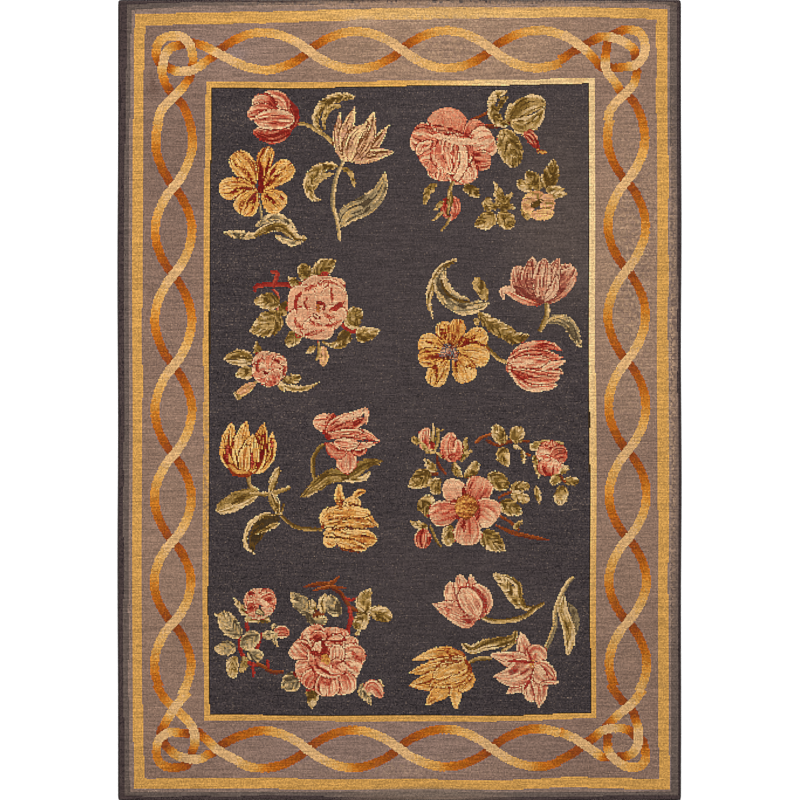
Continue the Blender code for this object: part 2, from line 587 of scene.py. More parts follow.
fire_point = partial(Petal, run=Run.FIRE, form=Form.LEAF, veins=0.5, vein_share=0.36)
apricot_point = partial(Petal, run=Run.APRICOT, form=Form.LEAF)
red_petal = partial(Petal, run=Run.RED)
pale_petal = partial(Petal, run=Run.PALE_ROSE, veins=0.12, streaks=0.12, hatch=Hatch.WAVED)
gold_leaf = partial(Leaf, run=Run.GOLD_LEAF)
gold_oval = partial(Leaf, run=Run.GOLD_LEAF, form=Form.OVAL)
reed_leaf = partial(Leaf, run=Run.REED)
olive_leaf = partial(Leaf, run=Run.OLIVE)
sage_oval = partial(Leaf, run=Run.SAGE, form=Form.OVAL)
reed_oval = partial(Leaf, run=Run.REED, form=Form.OVAL, hatch=Hatch.ALONG)
sage_leaf = partial(Leaf, run=Run.SAGE)
olive_oval = partial(Leaf, run=Run.OLIVE, form=Form.OVAL)
red_line = partial(Accent, run=Run.RED)
pale_line = partial(Accent, run=Run.PALE_ROSE, broken=0.08)
wine_line = partial(Accent, run=Run.FLAME, broken=0.35)
fire_line = partial(Accent, run=Run.FIRE)
rose_line = partial(Accent, run=Run.ROSE)
apricot_line = partial(Accent, run=Run.APRICOT)
butter_line = partial(Accent, run=Run.BUTTER, broken=0.3)
rust_twig = partial(Stem, run=Run.TWIG_RUST)
crimson_twig = partial(Stem, run=Run.TWIG_RED)
olive_stem = partial(Stem, run=Run.OLIVE)
straw_stem = partial(Stem, run=Run.STRAW_STEM)
reed_stem = partial(Stem, run=Run.REED)

UPPER_LEFT = Spray("red tulip, five-petalled flower and pointed lily", (
    olive_stem((292, 123, 305, 124, 318, 131, 328, 138, 336, 147), 3.6, 0.6, 0.8, side=-0.2),
    reed_leaf((355, 97, 341, 97, 328, 101, 318, 111, 316, 124, 323, 133), 10, side=-0.35),
    olive_leaf((341, 106, 330, 108, 324, 118, 324, 130), 6, 0.7, 0.7, side=-0.3),
    reed_leaf((338, 166, 323, 167, 311, 176, 308, 188, 313, 198, 323, 200), 11, 0.35, 0.7, side=-0.25),
    olive_leaf((333, 173, 322, 177, 315, 186, 312, 195), 6, 0.6, 0.8),
    olive_leaf((342, 168, 349, 172, 353, 180, 354, 188), 5, 0.3, 0.9, side=-0.2),
    sage_leaf((339, 227, 348, 214, 363, 207, 376, 196, 382, 187, 385, 172), 20, 0.65, 0.6, side=-0.1,
        veins=0.55, vein_share=0.34, streaks=0.2, stroke=1.9, stroke_length=12, hatch=Hatch.ALONG),
    Stem((343, 161, 338, 172, 334, 186, 333, 205, 337, 222, 340, 240), 4.2, 0.6, 0.7, run=Run.REED_STEM),
    lily_point((345, 161, 338, 139, 340, 113), 11, 0.55, 0.6),
    lily_point((348, 160, 346, 136, 355, 107), 14, 0.35, 0.6),
    Petal((353, 161, 374, 144, 389, 125), 15, 0.3, 0.65, Form.LANCE, run=Run.LILY, veins=0.5,
        vein_share=0.36),
    lily_point((352, 161, 374, 155, 394, 152), 13, 0.5, 0.6),
    lily_point((350, 162, 366, 136, 374, 112), 19, 0.35, 0.7, veins=0.55, vein_share=0.38),
    lily_point((347, 162, 352, 139, 367, 123), 15, 0.6, 0.75, vein_share=0.34),
    red_oval((289, 131, 292, 113, 277, 95), 14, 0, 0.2, rim=0.1, veins=0.1),
    red_oval((286, 112, 280, 100, 263, 94), 15, 0.4, 0.9, rim=0.1, veins=0.15),
    red_oval((276, 113, 263, 102, 252, 104), 17, 0.05, 0.65, streaks=0.35),
    red_oval((278, 120, 262, 113, 247, 116), 19, 0.25, 0.65, veins=0.45),
    red_oval((291, 130, 272, 136, 253, 131), 15, 0, 0.45, side=-0.2),
    red_oval((294, 119, 274, 119, 254, 121), 20, 0.7, 0.8, flame=0.2, veins=0.35),
    Stem((258, 192, 259, 204, 262, 219), 3, 0.35, 0.45, run=Run.SAGE),
    Petal((262, 190, 263, 166, 269, 147), 17, 0, 0.7, run=Run.FLAME, rim=0, veins=0.4),
    flame_petal((255, 187, 244, 167, 233, 154), 24, 0.5, 0.75, rim=0.35, veins=0.55),
    flame_petal((256, 189, 236, 188, 219, 191), 22, 0.35, 0.8),
    flame_petal((257, 190, 248, 202, 242, 215), 24, 0.45, 0.7, rim=0.35),
    flame_petal((262, 189, 272, 199, 282, 209), 25, 0.4, 0.75, rim=0.35),
    flame_petal((263, 190, 275, 177, 292, 164), 22, 0.4, 0.85, rim=0.35),
    Petal((260, 193, 261, 172), 5, 0, 0.15, Form.TAPER, run=Run.FLAME, rim=0, veins=0),
    wine_line((255, 186, 249, 176, 242, 166), 4, 0.05, 0.3),
    wine_line((254, 190, 244, 188, 231, 191), 4, 0.05, 0.3, broken=0.3),
    wine_line((256, 193, 250, 201, 246, 209), 4, 0.05, 0.3),
    wine_line((263, 192, 269, 198, 276, 203), 5, 0.05, 0.3, broken=0.3),
    wine_line((265, 187, 273, 179, 283, 171), 4, 0.05, 0.35),
    sage_oval((223, 233, 234, 234, 246, 236, 258, 235), 8, 0.6, 0.6, side=0.3),
    sage_oval((255, 227, 266, 219, 278, 217, 289, 223, 296, 233), 7, 0.6, 0.7, side=0.35),
    gold_oval((254, 236, 266, 229, 279, 226, 290, 232, 297, 238, 307, 238), 10, 0.5, 0.6, side=0.3,
        hatch=Hatch.ALONG),
    sage_oval((275, 235, 284, 240, 294, 243, 303, 241), 6, 0.5, 0.7, side=-0.3),
))

UPPER_RIGHT = Spray("full rose over buds, and a small peach rose", (
    rust_twig((470, 121, 481, 116, 492, 111), 3.4, 0.2, 0.4),
    rust_twig((484, 126, 498, 126, 512, 121), 4, 0.1, 0.3),
    reed_leaf((507, 91, 496, 95, 491, 106, 494, 120), 8, 0.7, 0.7, side=-0.3),
    olive_leaf((508, 96, 501, 104, 497, 114), 6, 0.2, 0.5),
    reed_leaf((492, 104, 494, 114, 500, 122, 510, 125), 12, 0.5, 0.5, side=-0.35),
    gold_leaf((508, 122, 510, 112, 511, 103), 9),
    gold_oval((511, 121, 521, 109, 533, 103, 546, 105), 19, 0.5, 0.65, side=-0.1, veins=0.45, stroke=2.2,
        hatch=Hatch.ALONG),
    reed_leaf((511, 122, 524, 126, 536, 120, 545, 108), 17, 0.55, 0.8, veins=0.5, hatch=Hatch.ALONG),
    gold_oval((503, 129, 508, 142, 512, 154, 515, 167), 24, 0.65, 0.55, side=-0.25),
    red_oval((524, 132, 531, 137, 538, 147), 11, 0.35, 0.4, rim=0.1),
    red_petal((534, 140, 540, 152), 6, 0.25, 0.45, Form.TAPER, rim=0),
    wine_line((537, 150, 547, 153), 4, 0.4, 0.5, broken=0.2),
    rose_oval((450, 140, 447, 124, 445, 108), 40, 0.4, 0.72, rim=0, veins=0.05, streaks=0.1,
        hatch=Hatch.WAVED, clouds=0.25),
    rose_petal((462, 142, 474, 134, 484, 124), 25, 0.15, 0.35, rim=0.15, veins=0.1),
    rose_petal((464, 150, 480, 144, 494, 138), 32, 0.45, 0.85, veins=0.2),
    rose_petal((466, 156, 480, 160, 491, 160), 20, 0.2, 0.45, veins=0.2),
    rose_petal((446, 142, 428, 140, 412, 134), 31, 0.4, 0.8, veins=0.5, hatch=Hatch.WAVED),
    rose_petal((446, 148, 431, 154, 420, 161), 29, 0.5, 0.7, veins=0.5, hatch=Hatch.WAVED),
    rose_petal((451, 150, 443, 167, 440, 181), 30, 0.5, 0.7, veins=0.5, hatch=Hatch.WAVED),
    rose_petal((456, 150, 462, 170, 465, 184), 31, 0.5, 0.7, veins=0.5, hatch=Hatch.WAVED),
    rose_oval((452, 132, 452, 174), 42, 0.62, 0.72, rim=0, veins=0.6, vein_share=0.36, hatch=Hatch.WAVED),
    rose_petal((463, 147, 464, 164, 456, 180), 7, 0.95, 0.9, Form.STRAP, rim=0, veins=0.1, streaks=0.1),
    red_line((424, 126, 446, 131, 474, 136), 9, 0.15, 0.3, streaks=0.3, broken=0.42),
    rose_line((432, 136, 458, 141, 488, 143), 7, 0.85, 0.95),
    olive_stem((453, 181, 450, 190, 448, 204), 3.4, 0.6, 0.6),
    red_petal((449, 196, 445, 209, 449, 221), 9, 0.2, 0.45, Form.LEAF, rim=0),
    red_petal((452, 196, 456, 208, 451, 221), 10, 0.3, 0.6, Form.LEAF),
    Petal((450, 190, 450, 202, 448, 214), 4.5, 0.4, 0.8, Form.LANCE, run=Run.STRAW_STEM, rim=0),
    olive_stem((449, 218, 447, 224, 441, 231), 2.4),
    olive_leaf((437, 184, 429, 190, 426, 198, 424, 207), 8, 0.3, 0.6),
    olive_leaf((443, 201, 437, 208, 433, 211), 4, 0.4, 0.7),
    olive_leaf((443, 212, 437, 217, 432, 221), 4, 0.4, 0.7),
    gold_oval((463, 190, 470, 189, 479, 197), 11, 0.3, 0.5, side=-0.3),
    gold_leaf((494, 196, 497, 190, 494, 181), 5, 0.7, 0.5),
    gold_leaf((494, 195, 502, 198, 511, 194), 5, 0.6, 0.4),
    sage_leaf((496, 200, 504, 199, 513, 196), 6, 0.2, 0.5),
    gold_oval((490, 197, 487, 204, 490, 211), 9),
    gold_leaf((497, 208, 500, 197, 495, 183), 9, 0.2, 0.6, ragged=2.6),
    olive_leaf((498, 207, 506, 200, 512, 192), 8, 0.15, 0.6, ragged=2.6),
    gold_leaf((499, 209, 507, 206, 515, 208), 9, 0.2, 0.6, ragged=2.6),
    olive_leaf((497, 209, 490, 204, 484, 199), 7, 0.2, 0.6, ragged=2.4),
    gold_leaf((495, 214, 486, 221, 474, 226), 17, 0.3, 0.7),
    gold_oval((499, 212, 505, 219, 514, 226), 17, 0.4, 0.6, side=-0.2),
    gold_leaf((546, 189, 552, 172, 554, 159), 17, 0.3, 0.5, side=0.2),
    gold_oval((540, 190, 534, 181, 527, 171), 15, 0.35, 0.45, side=0.2),
    reed_oval((532, 190, 525, 186, 517, 181), 11, 0.5, 0.7, veins=0.5, hatch=Hatch.HERRINGBONE),
    gold_leaf((546, 190, 554, 190, 565, 189), 8, 0.3, 0.4),
    reed_leaf((548, 195, 557, 195, 567, 194), 8, 0.6, 0.8),
    olive_oval((522, 208, 526, 214, 529, 219), 8, 0.4, 0.6),
    peach_oval((540, 206, 538, 197, 539, 191), 21, 0.1, 0.3, rim=0.1),
    peach_oval((536, 206, 529, 203, 522, 201), 21, 0.5, 0.8),
    peach_oval((540, 206, 548, 204, 555, 204), 20, 0.7, 0.5),
    peach_oval((530, 214, 541, 215, 554, 213), 11, 0.6, 0.7),
    Petal((531, 207, 536, 204, 541, 201), 5, 0.3, 0.2, Form.OVAL, run=Run.OLIVE, rim=0),
))

MIDDLE_LEFT = Spray("open cabbage rose with leaves, and a small rose", (
    crimson_twig((255, 292, 257, 286, 272, 284, 290, 285, 299, 294), 5, 0.4, 0.3, side=-0.5),
    crimson_twig((273, 287, 276, 279, 277, 273, 271, 271), 4.2, 0.6, 0.7),
    Stem((272, 289, 277, 293, 278, 304, 278, 316), 3, 0.25, 0.35, run=Run.ROSE),
    gold_oval((311, 281, 305, 272, 301, 264), 15, 0.3, 0.5, side=0.1, rim=0.5),
    gold_leaf((301, 289, 295, 283, 288, 277), 10, 0.2, 0.6, rim=0.4),
    gold_leaf((316, 277, 322, 269, 336, 260), 18, 0.3, 0.35, side=0.1, rim=0.55),
    gold_leaf((280, 303, 268, 301, 253, 302), 17, 0.5, 0.75, rim=0.3, vein_share=0.34),
    gold_oval((289, 302, 284, 307, 283, 316), 10, 0.35, 0.4),
    gold_leaf((279, 312, 268, 324, 250, 332), 25, 0.4, 0.75, side=-0.12, rim=0.25),
    gold_oval((302, 330, 294, 337, 287, 346), 14, 0.3, 0.55, rim=0.45),
    crimson_twig((342, 324, 350, 330, 358, 332), 5, 0.6, 0.7),
    gold_oval((358, 328, 353, 319, 361, 309), 18, 0.5, 0.65, rim=0.25),
    gold_leaf((356, 335, 367, 334, 380, 330), 16, 0.4, 0.7, Form.DROP),
    gold_leaf((351, 333, 344, 338, 338, 347), 14, 0.2, 0.6),
    olive_stem((347, 345, 336, 347, 322, 341), 3),
    gold_leaf((337, 341, 332, 345, 326, 343), 5, 0.6, 0.8),
    gold_leaf((316, 347, 311, 350, 306, 353), 6, 0.4, 0.7),
    peach_oval((323, 346, 324, 356, 323, 366), 9.5, 0.35, 0.7),
    olive_stem((318, 341, 319, 352, 316, 360), 3, 0.5, 0.7),
    pale_oval((318, 300, 308, 290, 301, 284), 38, 0.7, 0.8),
    pale_petal((318, 300, 324, 288, 325, 276), 42, 0.75, 0.75),
    pale_oval((318, 302, 332, 295, 344, 287), 36, 0.7, 0.8),
    pale_oval((320, 306, 335, 304, 348, 303), 39, 0.7, 0.75),
    pale_oval((316, 308, 302, 306, 288, 308), 42, 0.65, 0.75),
    pale_petal((318, 310, 306, 322, 299, 334), 38, 0.65, 0.8),
    pale_petal((320, 309, 331, 318, 339, 326), 32, 0.7, 0.8),
    pale_petal((318, 312, 318, 326, 317, 339), 32, 0.75, 0.75),
    pale_line((302, 291, 296, 300, 297, 312), 4.2, 0.05, 0.23),
    pale_line((307, 296, 305, 303, 308, 310), 3.8, 0.15, 0.28),
    pale_line((304, 290, 310, 287, 316, 285), 4.8, 0.15, 0.18),
    pale_line((319, 285, 328, 281, 337, 285), 3.8, 0.2, 0.23),
    pale_line((331, 288, 332, 295, 332, 302), 3.8, 0.15, 0.23),
    pale_line((329, 311, 337, 307, 345, 301), 5.8, 0.1, 0.18),
    pale_line((294, 317, 299, 326, 306, 329), 4.2, 0.1, 0.18),
    pale_line((305, 335, 316, 332, 324, 330), 4.2, 0.1, 0.23),
    pale_line((324, 326, 333, 325, 341, 320), 4, 0.15, 0.28),
    pale_line((310, 319, 314, 324, 322, 325), 4, 0.15, 0.23),
    pale_line((323, 312, 330, 317, 336, 316), 4.4, 0.15, 0.28),
    red_line((316, 302, 324, 304, 324, 311), 4, 0, 0.1),
    red_line((313, 313, 317, 317, 321, 318), 4.4, 0, 0.1),
    Accent((318, 304, 319, 313), 4, 0.5, 0.7, run=Run.POLLEN),
    gold_leaf((253, 361, 240, 358, 223, 359), 17, 0.6, 0.75, rim=0.25, hatch=Hatch.ALONG),
    olive_stem((231, 357, 240, 357, 252, 359), 2.2, 0, 0, side=0, veins=0),
    gold_leaf((254, 373, 244, 373, 235, 376), 13, 0.25, 0.75, rim=0.45),
    gold_leaf((260, 360, 258, 350, 256, 341), 9, 0.4, 0.6, rim=0.25),
    gold_oval((282, 378, 291, 379, 301, 376), 10, 0.5, 0.55),
    gold_leaf((276, 383, 291, 388, 305, 388, 319, 382), 6, 0.6, 0.65, hatch=Hatch.ALONG),
    gold_leaf((277, 380, 281, 386, 284, 392), 6, 0.7, 0.7),
    straw_stem((266, 382, 257, 381, 250, 388), 2.6, 0.6, 0.6),
    peach_oval((255, 383, 245, 390, 235, 397), 9, 0.3, 0.6, veins=0.2),
    gold_leaf((240, 400, 237, 396, 234, 393), 5, 0.6, 0.6),
    rose_oval((269, 368, 262, 360, 257, 354), 24, 0.65, 0.85, rim=0.1, veins=0.1, streaks=0.15),
    rose_oval((270, 368, 275, 360, 277, 353), 24, 0.65, 0.8, veins=0.2, streaks=0.2),
    rose_oval((270, 368, 279, 368, 287, 369), 25, 0.6, 0.7, veins=0.25, streaks=0.2),
    rose_oval((268, 370, 272, 378, 276, 384), 24, 0.7, 0.5, veins=0.4),
    rose_oval((268, 370, 260, 373, 253, 376), 22, 0.8, 0.8, veins=0.1),
    red_line((262, 357, 257, 364, 258, 374), 3.4, 0.2, 0.1),
    red_line((259, 378, 267, 382, 276, 382), 4.4, 0.3, 0.3),
    red_line((280, 363, 285, 368, 284, 375), 4.2, 0.1, 0.3),
    red_line((263, 371, 266, 373, 269, 373), 3, 0.05, 0.1),
    red_line((272, 359, 276, 360, 279, 363), 3, 0.05, 0.1),
))

MIDDLE_RIGHT = Spray("plum tulip, lying coral tulip and striped yellow flower", (
    reed_leaf((458, 259, 444, 267, 434, 281, 429, 300, 433, 319), 8, 0.5, 0.8, side=-0.25,
        hatch=Hatch.ALONG),
    sage_oval((444, 268, 440, 285, 449, 300, 466, 308, 489, 303), 15, 0.35, 0.75, side=-0.25, rim=0.35,
        stroke=2, hatch=Hatch.ALONG),
    sage_leaf((444, 270, 446, 284, 455, 294, 470, 300), 6, 0.6, 0.6, hatch=Hatch.ALONG),
    olive_stem((441, 280, 446, 292, 457, 300, 470, 302), 3, 0, 0.1, side=0),
    olive_oval((487, 300, 481, 289, 476, 277), 12, 0.55, 0.7, rim=0.2),
    gold_oval((478, 312, 490, 323, 504, 331, 516, 338, 529, 335), 15, 0.55, 0.45, rim=0.25),
    olive_leaf((476, 318, 478, 326), 6, 0.7, 0.7),
    straw_stem((485, 342, 490, 350, 500, 359, 510, 363), 4, 0.4, 0.7, side=-0.3),
    reed_stem((547, 300, 547, 316, 540, 331), 5.5, 0.65, 0.5),
    sage_oval((547, 323, 559, 319, 570, 325, 576, 337, 581, 347), 12, 0.45, 0.6, side=0.1, rim=0.3,
        hatch=Hatch.ALONG),
    plum_petal((547, 301, 555, 278, 572, 264), 21, 0.25, 0.65, Form.LEAF),
    plum_petal((545, 302, 561, 286, 575, 268), 21, 0.05, 0.6, Form.OVAL, side=-0.1),
    plum_petal((545, 300, 526, 289, 516, 266), 24, 0.35, 0.85, Form.OVAL, veins=0.35),
    plum_petal((543, 301, 532, 280, 533, 256), 22, 0.25, 0.5, Form.LEAF, rim=0.45, veins=0.5),
    plum_petal((547, 300, 550, 280, 559, 258), 19, 0.35, 0.65, Form.LEAF, rim=0.4, veins=0.45),
    plum_petal((544, 302, 542, 280, 545, 259), 18, 0.85, 0.6, Form.OVAL, rim=0.35, veins=0.45),
    plum_petal((546, 300, 554, 290, 557, 276), 9, 0.75, 0.7, Form.LEAF),
    plum_petal((545, 302, 528, 299, 515, 287), 9, 0.1, 0.15, Form.OVAL, rim=0, veins=0.2),
    rose_oval((541, 305, 522, 300, 508, 292, 501, 290), 6, 0.1, 0.8, rim=0.2),
    Leaf((516, 291, 508, 288, 502, 291, 504, 299), 5, 0.8, 0.85, Form.OVAL, run=Run.PLUM,
        hatch=Hatch.ALONG),
    flame_petal((450, 350, 446, 336, 443, 322), 18, 0.4, 0.8, rim=0.25, veins=0.5),
    apricot_petal((452, 348, 457, 334, 458, 319), 16, 0.2, 0.7, rim=0.2, veins=0.5),
    flame_petal((456, 349, 472, 341, 487, 333), 21, 0.3, 0.9, rim=0.25, veins=0.55),
    flame_petal((456, 352, 473, 354, 489, 359), 22, 0.35, 0.9, veins=0.5),
    apricot_petal((454, 354, 463, 368, 468, 382), 24, 0.35, 0.95, veins=0.4),
    flame_petal((450, 355, 440, 369, 433, 386), 21, 0.45, 0.85, veins=0.55),
    flame_petal((448, 352, 433, 346, 419, 342), 22, 0.4, 0.85, veins=0.5),
    flame_petal((448, 354, 433, 357, 419, 360), 19, 0.15, 0.75, veins=0.4),
    fire_line((443, 328, 445, 342), 6, 0.25, 0.4),
    fire_line((458, 343, 470, 339, 481, 329), 3.6, 0.25, 0.4),
    fire_line((462, 343, 476, 342, 482, 346), 4, 0.25, 0.4),
    fire_line((434, 361, 436, 372, 438, 382), 4, 0.25, 0.4),
    fire_line((456, 361, 456, 378), 3.4, 0.25, 0.4),
    fire_line((465, 366, 476, 368), 4, 0.25, 0.4),
    Petal((443, 345, 450, 351, 457, 360), 11, 0.4, 0.5, Form.OVAL, run=Run.STONE, rim=0.1,
        hatch=Hatch.WAVED, grain=0.45, ragged=2.6),
    Petal((439, 355, 446, 353, 454, 349), 7, 0.4, 0.5, Form.OVAL, run=Run.STONE, rim=0.1, hatch=Hatch.WAVED,
        grain=0.45, ragged=2.4),
    rose_point((508, 364, 526, 350, 548, 346, 562, 350), 15, 0.5, 0.2, side=0.2),
    rose_oval((509, 367, 530, 384, 557, 385), 14, 0.65, 0.6, side=-0.15),
    rose_oval((508, 366, 536, 369, 563, 372), 12, 0.3, 0.5, veins=0.35),
    rose_point((508, 363, 532, 356, 563, 358), 17, 0.5, 0.25, veins=0.35),
    rose_oval((510, 363, 532, 361, 552, 362), 12, 0.75, 0.6, veins=0.2),
    rose_oval((512, 370, 536, 377, 560, 378), 13, 0.35, 0.55, veins=0.35),
    rose_point((542, 370, 553, 366, 566, 361), 8, 0.85, 0.75, veins=0.2),
    rose_point((544, 372, 554, 373, 564, 373), 6, 0.3, 0.5),
    red_oval((506, 368, 512, 368), 9, 0.1, 0.5, rim=0, grain=0.4),
    red_line((512, 370, 522, 378, 532, 376), 3, 0, 0.2),
))

LOWER_LEFT = Spray("striped tulip, pink lily-tulip and yellow parrot tulip", (
    reed_stem((250, 473, 248, 480, 251, 487, 258, 490), 4, 0.42, 0.62),
    reed_oval((258, 492, 245, 497, 232, 503, 216, 511), 18, 0.52, 0.67, veins=0.25, streaks=0.2),
    olive_stem((231, 504, 240, 500, 248, 495), 2.6, 0.1, 0.3, side=0),
    reed_stem((250, 494, 268, 494, 280, 491, 290, 487), 4.6, 0.52, 0.62),
    reed_oval((270, 494, 273, 481, 279, 467), 8, 0.47, 0.67),
    reed_oval((270, 492, 275, 503, 278, 513), 10, 0.52, 0.47),
    olive_stem((284, 503, 281, 512), 2.6, 0.4, 0.2),
    Leaf((280, 517, 263, 524, 254, 540, 252, 553), 15, 0.5, 0.8, run=Run.SHADE, side=-0.1, rim=0.3),
    reed_leaf((280, 523, 268, 528, 255, 535), 5, 0.22, 0.37),
    reed_oval((282, 514, 263, 515, 250, 525, 245, 540, 248, 549, 255, 554), 4.4, 0.35, 0.95, side=-0.15),
    straw_stem((281, 515, 290, 523, 300, 528, 322, 529), 4, 0.2, 0.3, side=-0.3),
    reed_stem((327, 443, 319, 448, 313, 459, 313, 470, 315, 480), 4.4, 0.12, 0.27, side=-0.5),
    reed_oval((382, 461, 366, 464, 350, 473, 330, 476, 317, 485, 301, 497), 14, 0.12, 0.52, side=0.18,
        rim=0.1),
    reed_leaf((370, 471, 362, 479, 342, 481), 5, 0.62, 0.72, hatch=Hatch.ALONG),
    fire_point((243, 474, 229, 452, 231, 422), 20, 0.3, 0.8),
    fire_point((255, 473, 268, 454, 272, 432), 15, 0.45, 0.85),
    fire_point((253, 474, 258, 448, 264, 423), 19, 0.5, 0.4),
    fire_point((247, 474, 241, 448, 246, 420), 19, 0.6, 0.8),
    fire_point((248, 474, 249, 455, 253, 434), 20, 0.75, 0.6, vein_share=0.28),
    butter_oval((244, 473, 244, 458, 246, 446), 12, 0.55, 0.75, veins=0.1),
    apricot_petal((228, 464, 236, 473, 250, 474), 7, 0.3, 0.05, Form.OVAL, side=0.3, rim=0),
    red_line((228, 444, 227, 452, 227, 461), 3.6, 0.1, 0.2),
    red_line((272, 437, 271, 448), 4.6, 0.05, 0.15),
    red_line((252, 452, 252, 468), 3.4, 0.1, 0.2),
    rose_oval((345, 447, 346, 460, 347, 473), 21, 0.4, 0.65, rim=0.2, veins=0.15),
    rose_oval((347, 450, 336, 452, 326, 443), 13, 0.3, 0.35, rim=0.1),
    red_oval((350, 448, 360, 452, 367, 447), 7, 0.2, 0.4, rim=0.1),
    rose_point((338, 443, 360, 446, 379, 442), 8, 0.8, 0.9, rim=0.1),
    rose_point((336, 438, 360, 434, 379, 441), 12, 0.55, 0.45, side=0.2, veins=0.35),
    rose_oval((342, 436, 327, 424, 313, 421), 21, 0.35, 0.85),
    red_oval((326, 438, 331, 424, 333, 413), 11, 0.3, 0.2, rim=0.1),
    rose_point((326, 431, 345, 421, 364, 412), 16, 0.25, 0.7, veins=0.45),
    red_oval((330, 433, 350, 427, 366, 418), 10, 0.1, 0.35),
    rose_line((338, 421, 350, 417, 364, 411), 6, 0.85, 0.8),
    rose_oval((326, 436, 345, 433, 362, 432), 8, 0.5, 0.6, veins=0.5),
    rose_oval((334, 442, 347, 444, 358, 444), 12, 0.6, 0.65),
    red_line((325, 433, 331, 439), 6, 0.1, 0.2),
    rose_line((356, 411, 366, 411, 366, 424), 5, 0.9, 0.75),
    red_line((362, 440, 374, 440), 4, 0.05, 0.25),
    butter_oval((342, 512, 339, 497, 339, 484), 9, 0.3, 0.85, veins=0.2),
    butter_oval((346, 514, 352, 505, 355, 496), 18, 0.6, 0.85, veins=0.2),
    butter_oval((352, 499, 358, 493, 365, 491), 6, 0.9, 0.2, rim=0.2),
    butter_oval((344, 528, 330, 516, 324, 509), 26, 0.65, 0.85, veins=0.35),
    apricot_petal((322, 528, 328, 513, 336, 508), 3.2, 0.05, 0.05, Form.STRAP, rim=0, streaks=0.1),
    butter_oval((324, 533, 352, 537, 377, 540), 22, 0.75, 0.55, veins=0.34),
    butter_oval((332, 540, 352, 545, 367, 549), 10, 0.8, 0.4),
    butter_oval((324, 537, 336, 544), 14, 0.75, 0.75, veins=0.2),
    Petal((322, 521, 350, 516, 378, 526), 25, 0.7, 0.65, Form.LEAF, run=Run.BUTTER, veins=0.34),
    butter_oval((330, 514, 350, 512, 370, 513), 12, 0.65, 0.75, veins=0.34),
    butter_line((322, 528, 344, 527, 366, 529), 2.6, 0, 0.2, broken=0.35),
    butter_line((328, 520, 345, 517, 364, 519), 2.4, 0.05, 0.2),
    butter_line((326, 537, 345, 538, 362, 541), 2.4, 0, 0.15),
    butter_line((336, 547, 348, 550, 360, 552), 2.4, 0.1, 0.2),
    apricot_line((338, 499, 341, 509), 6, 0.1, 0.1),
))

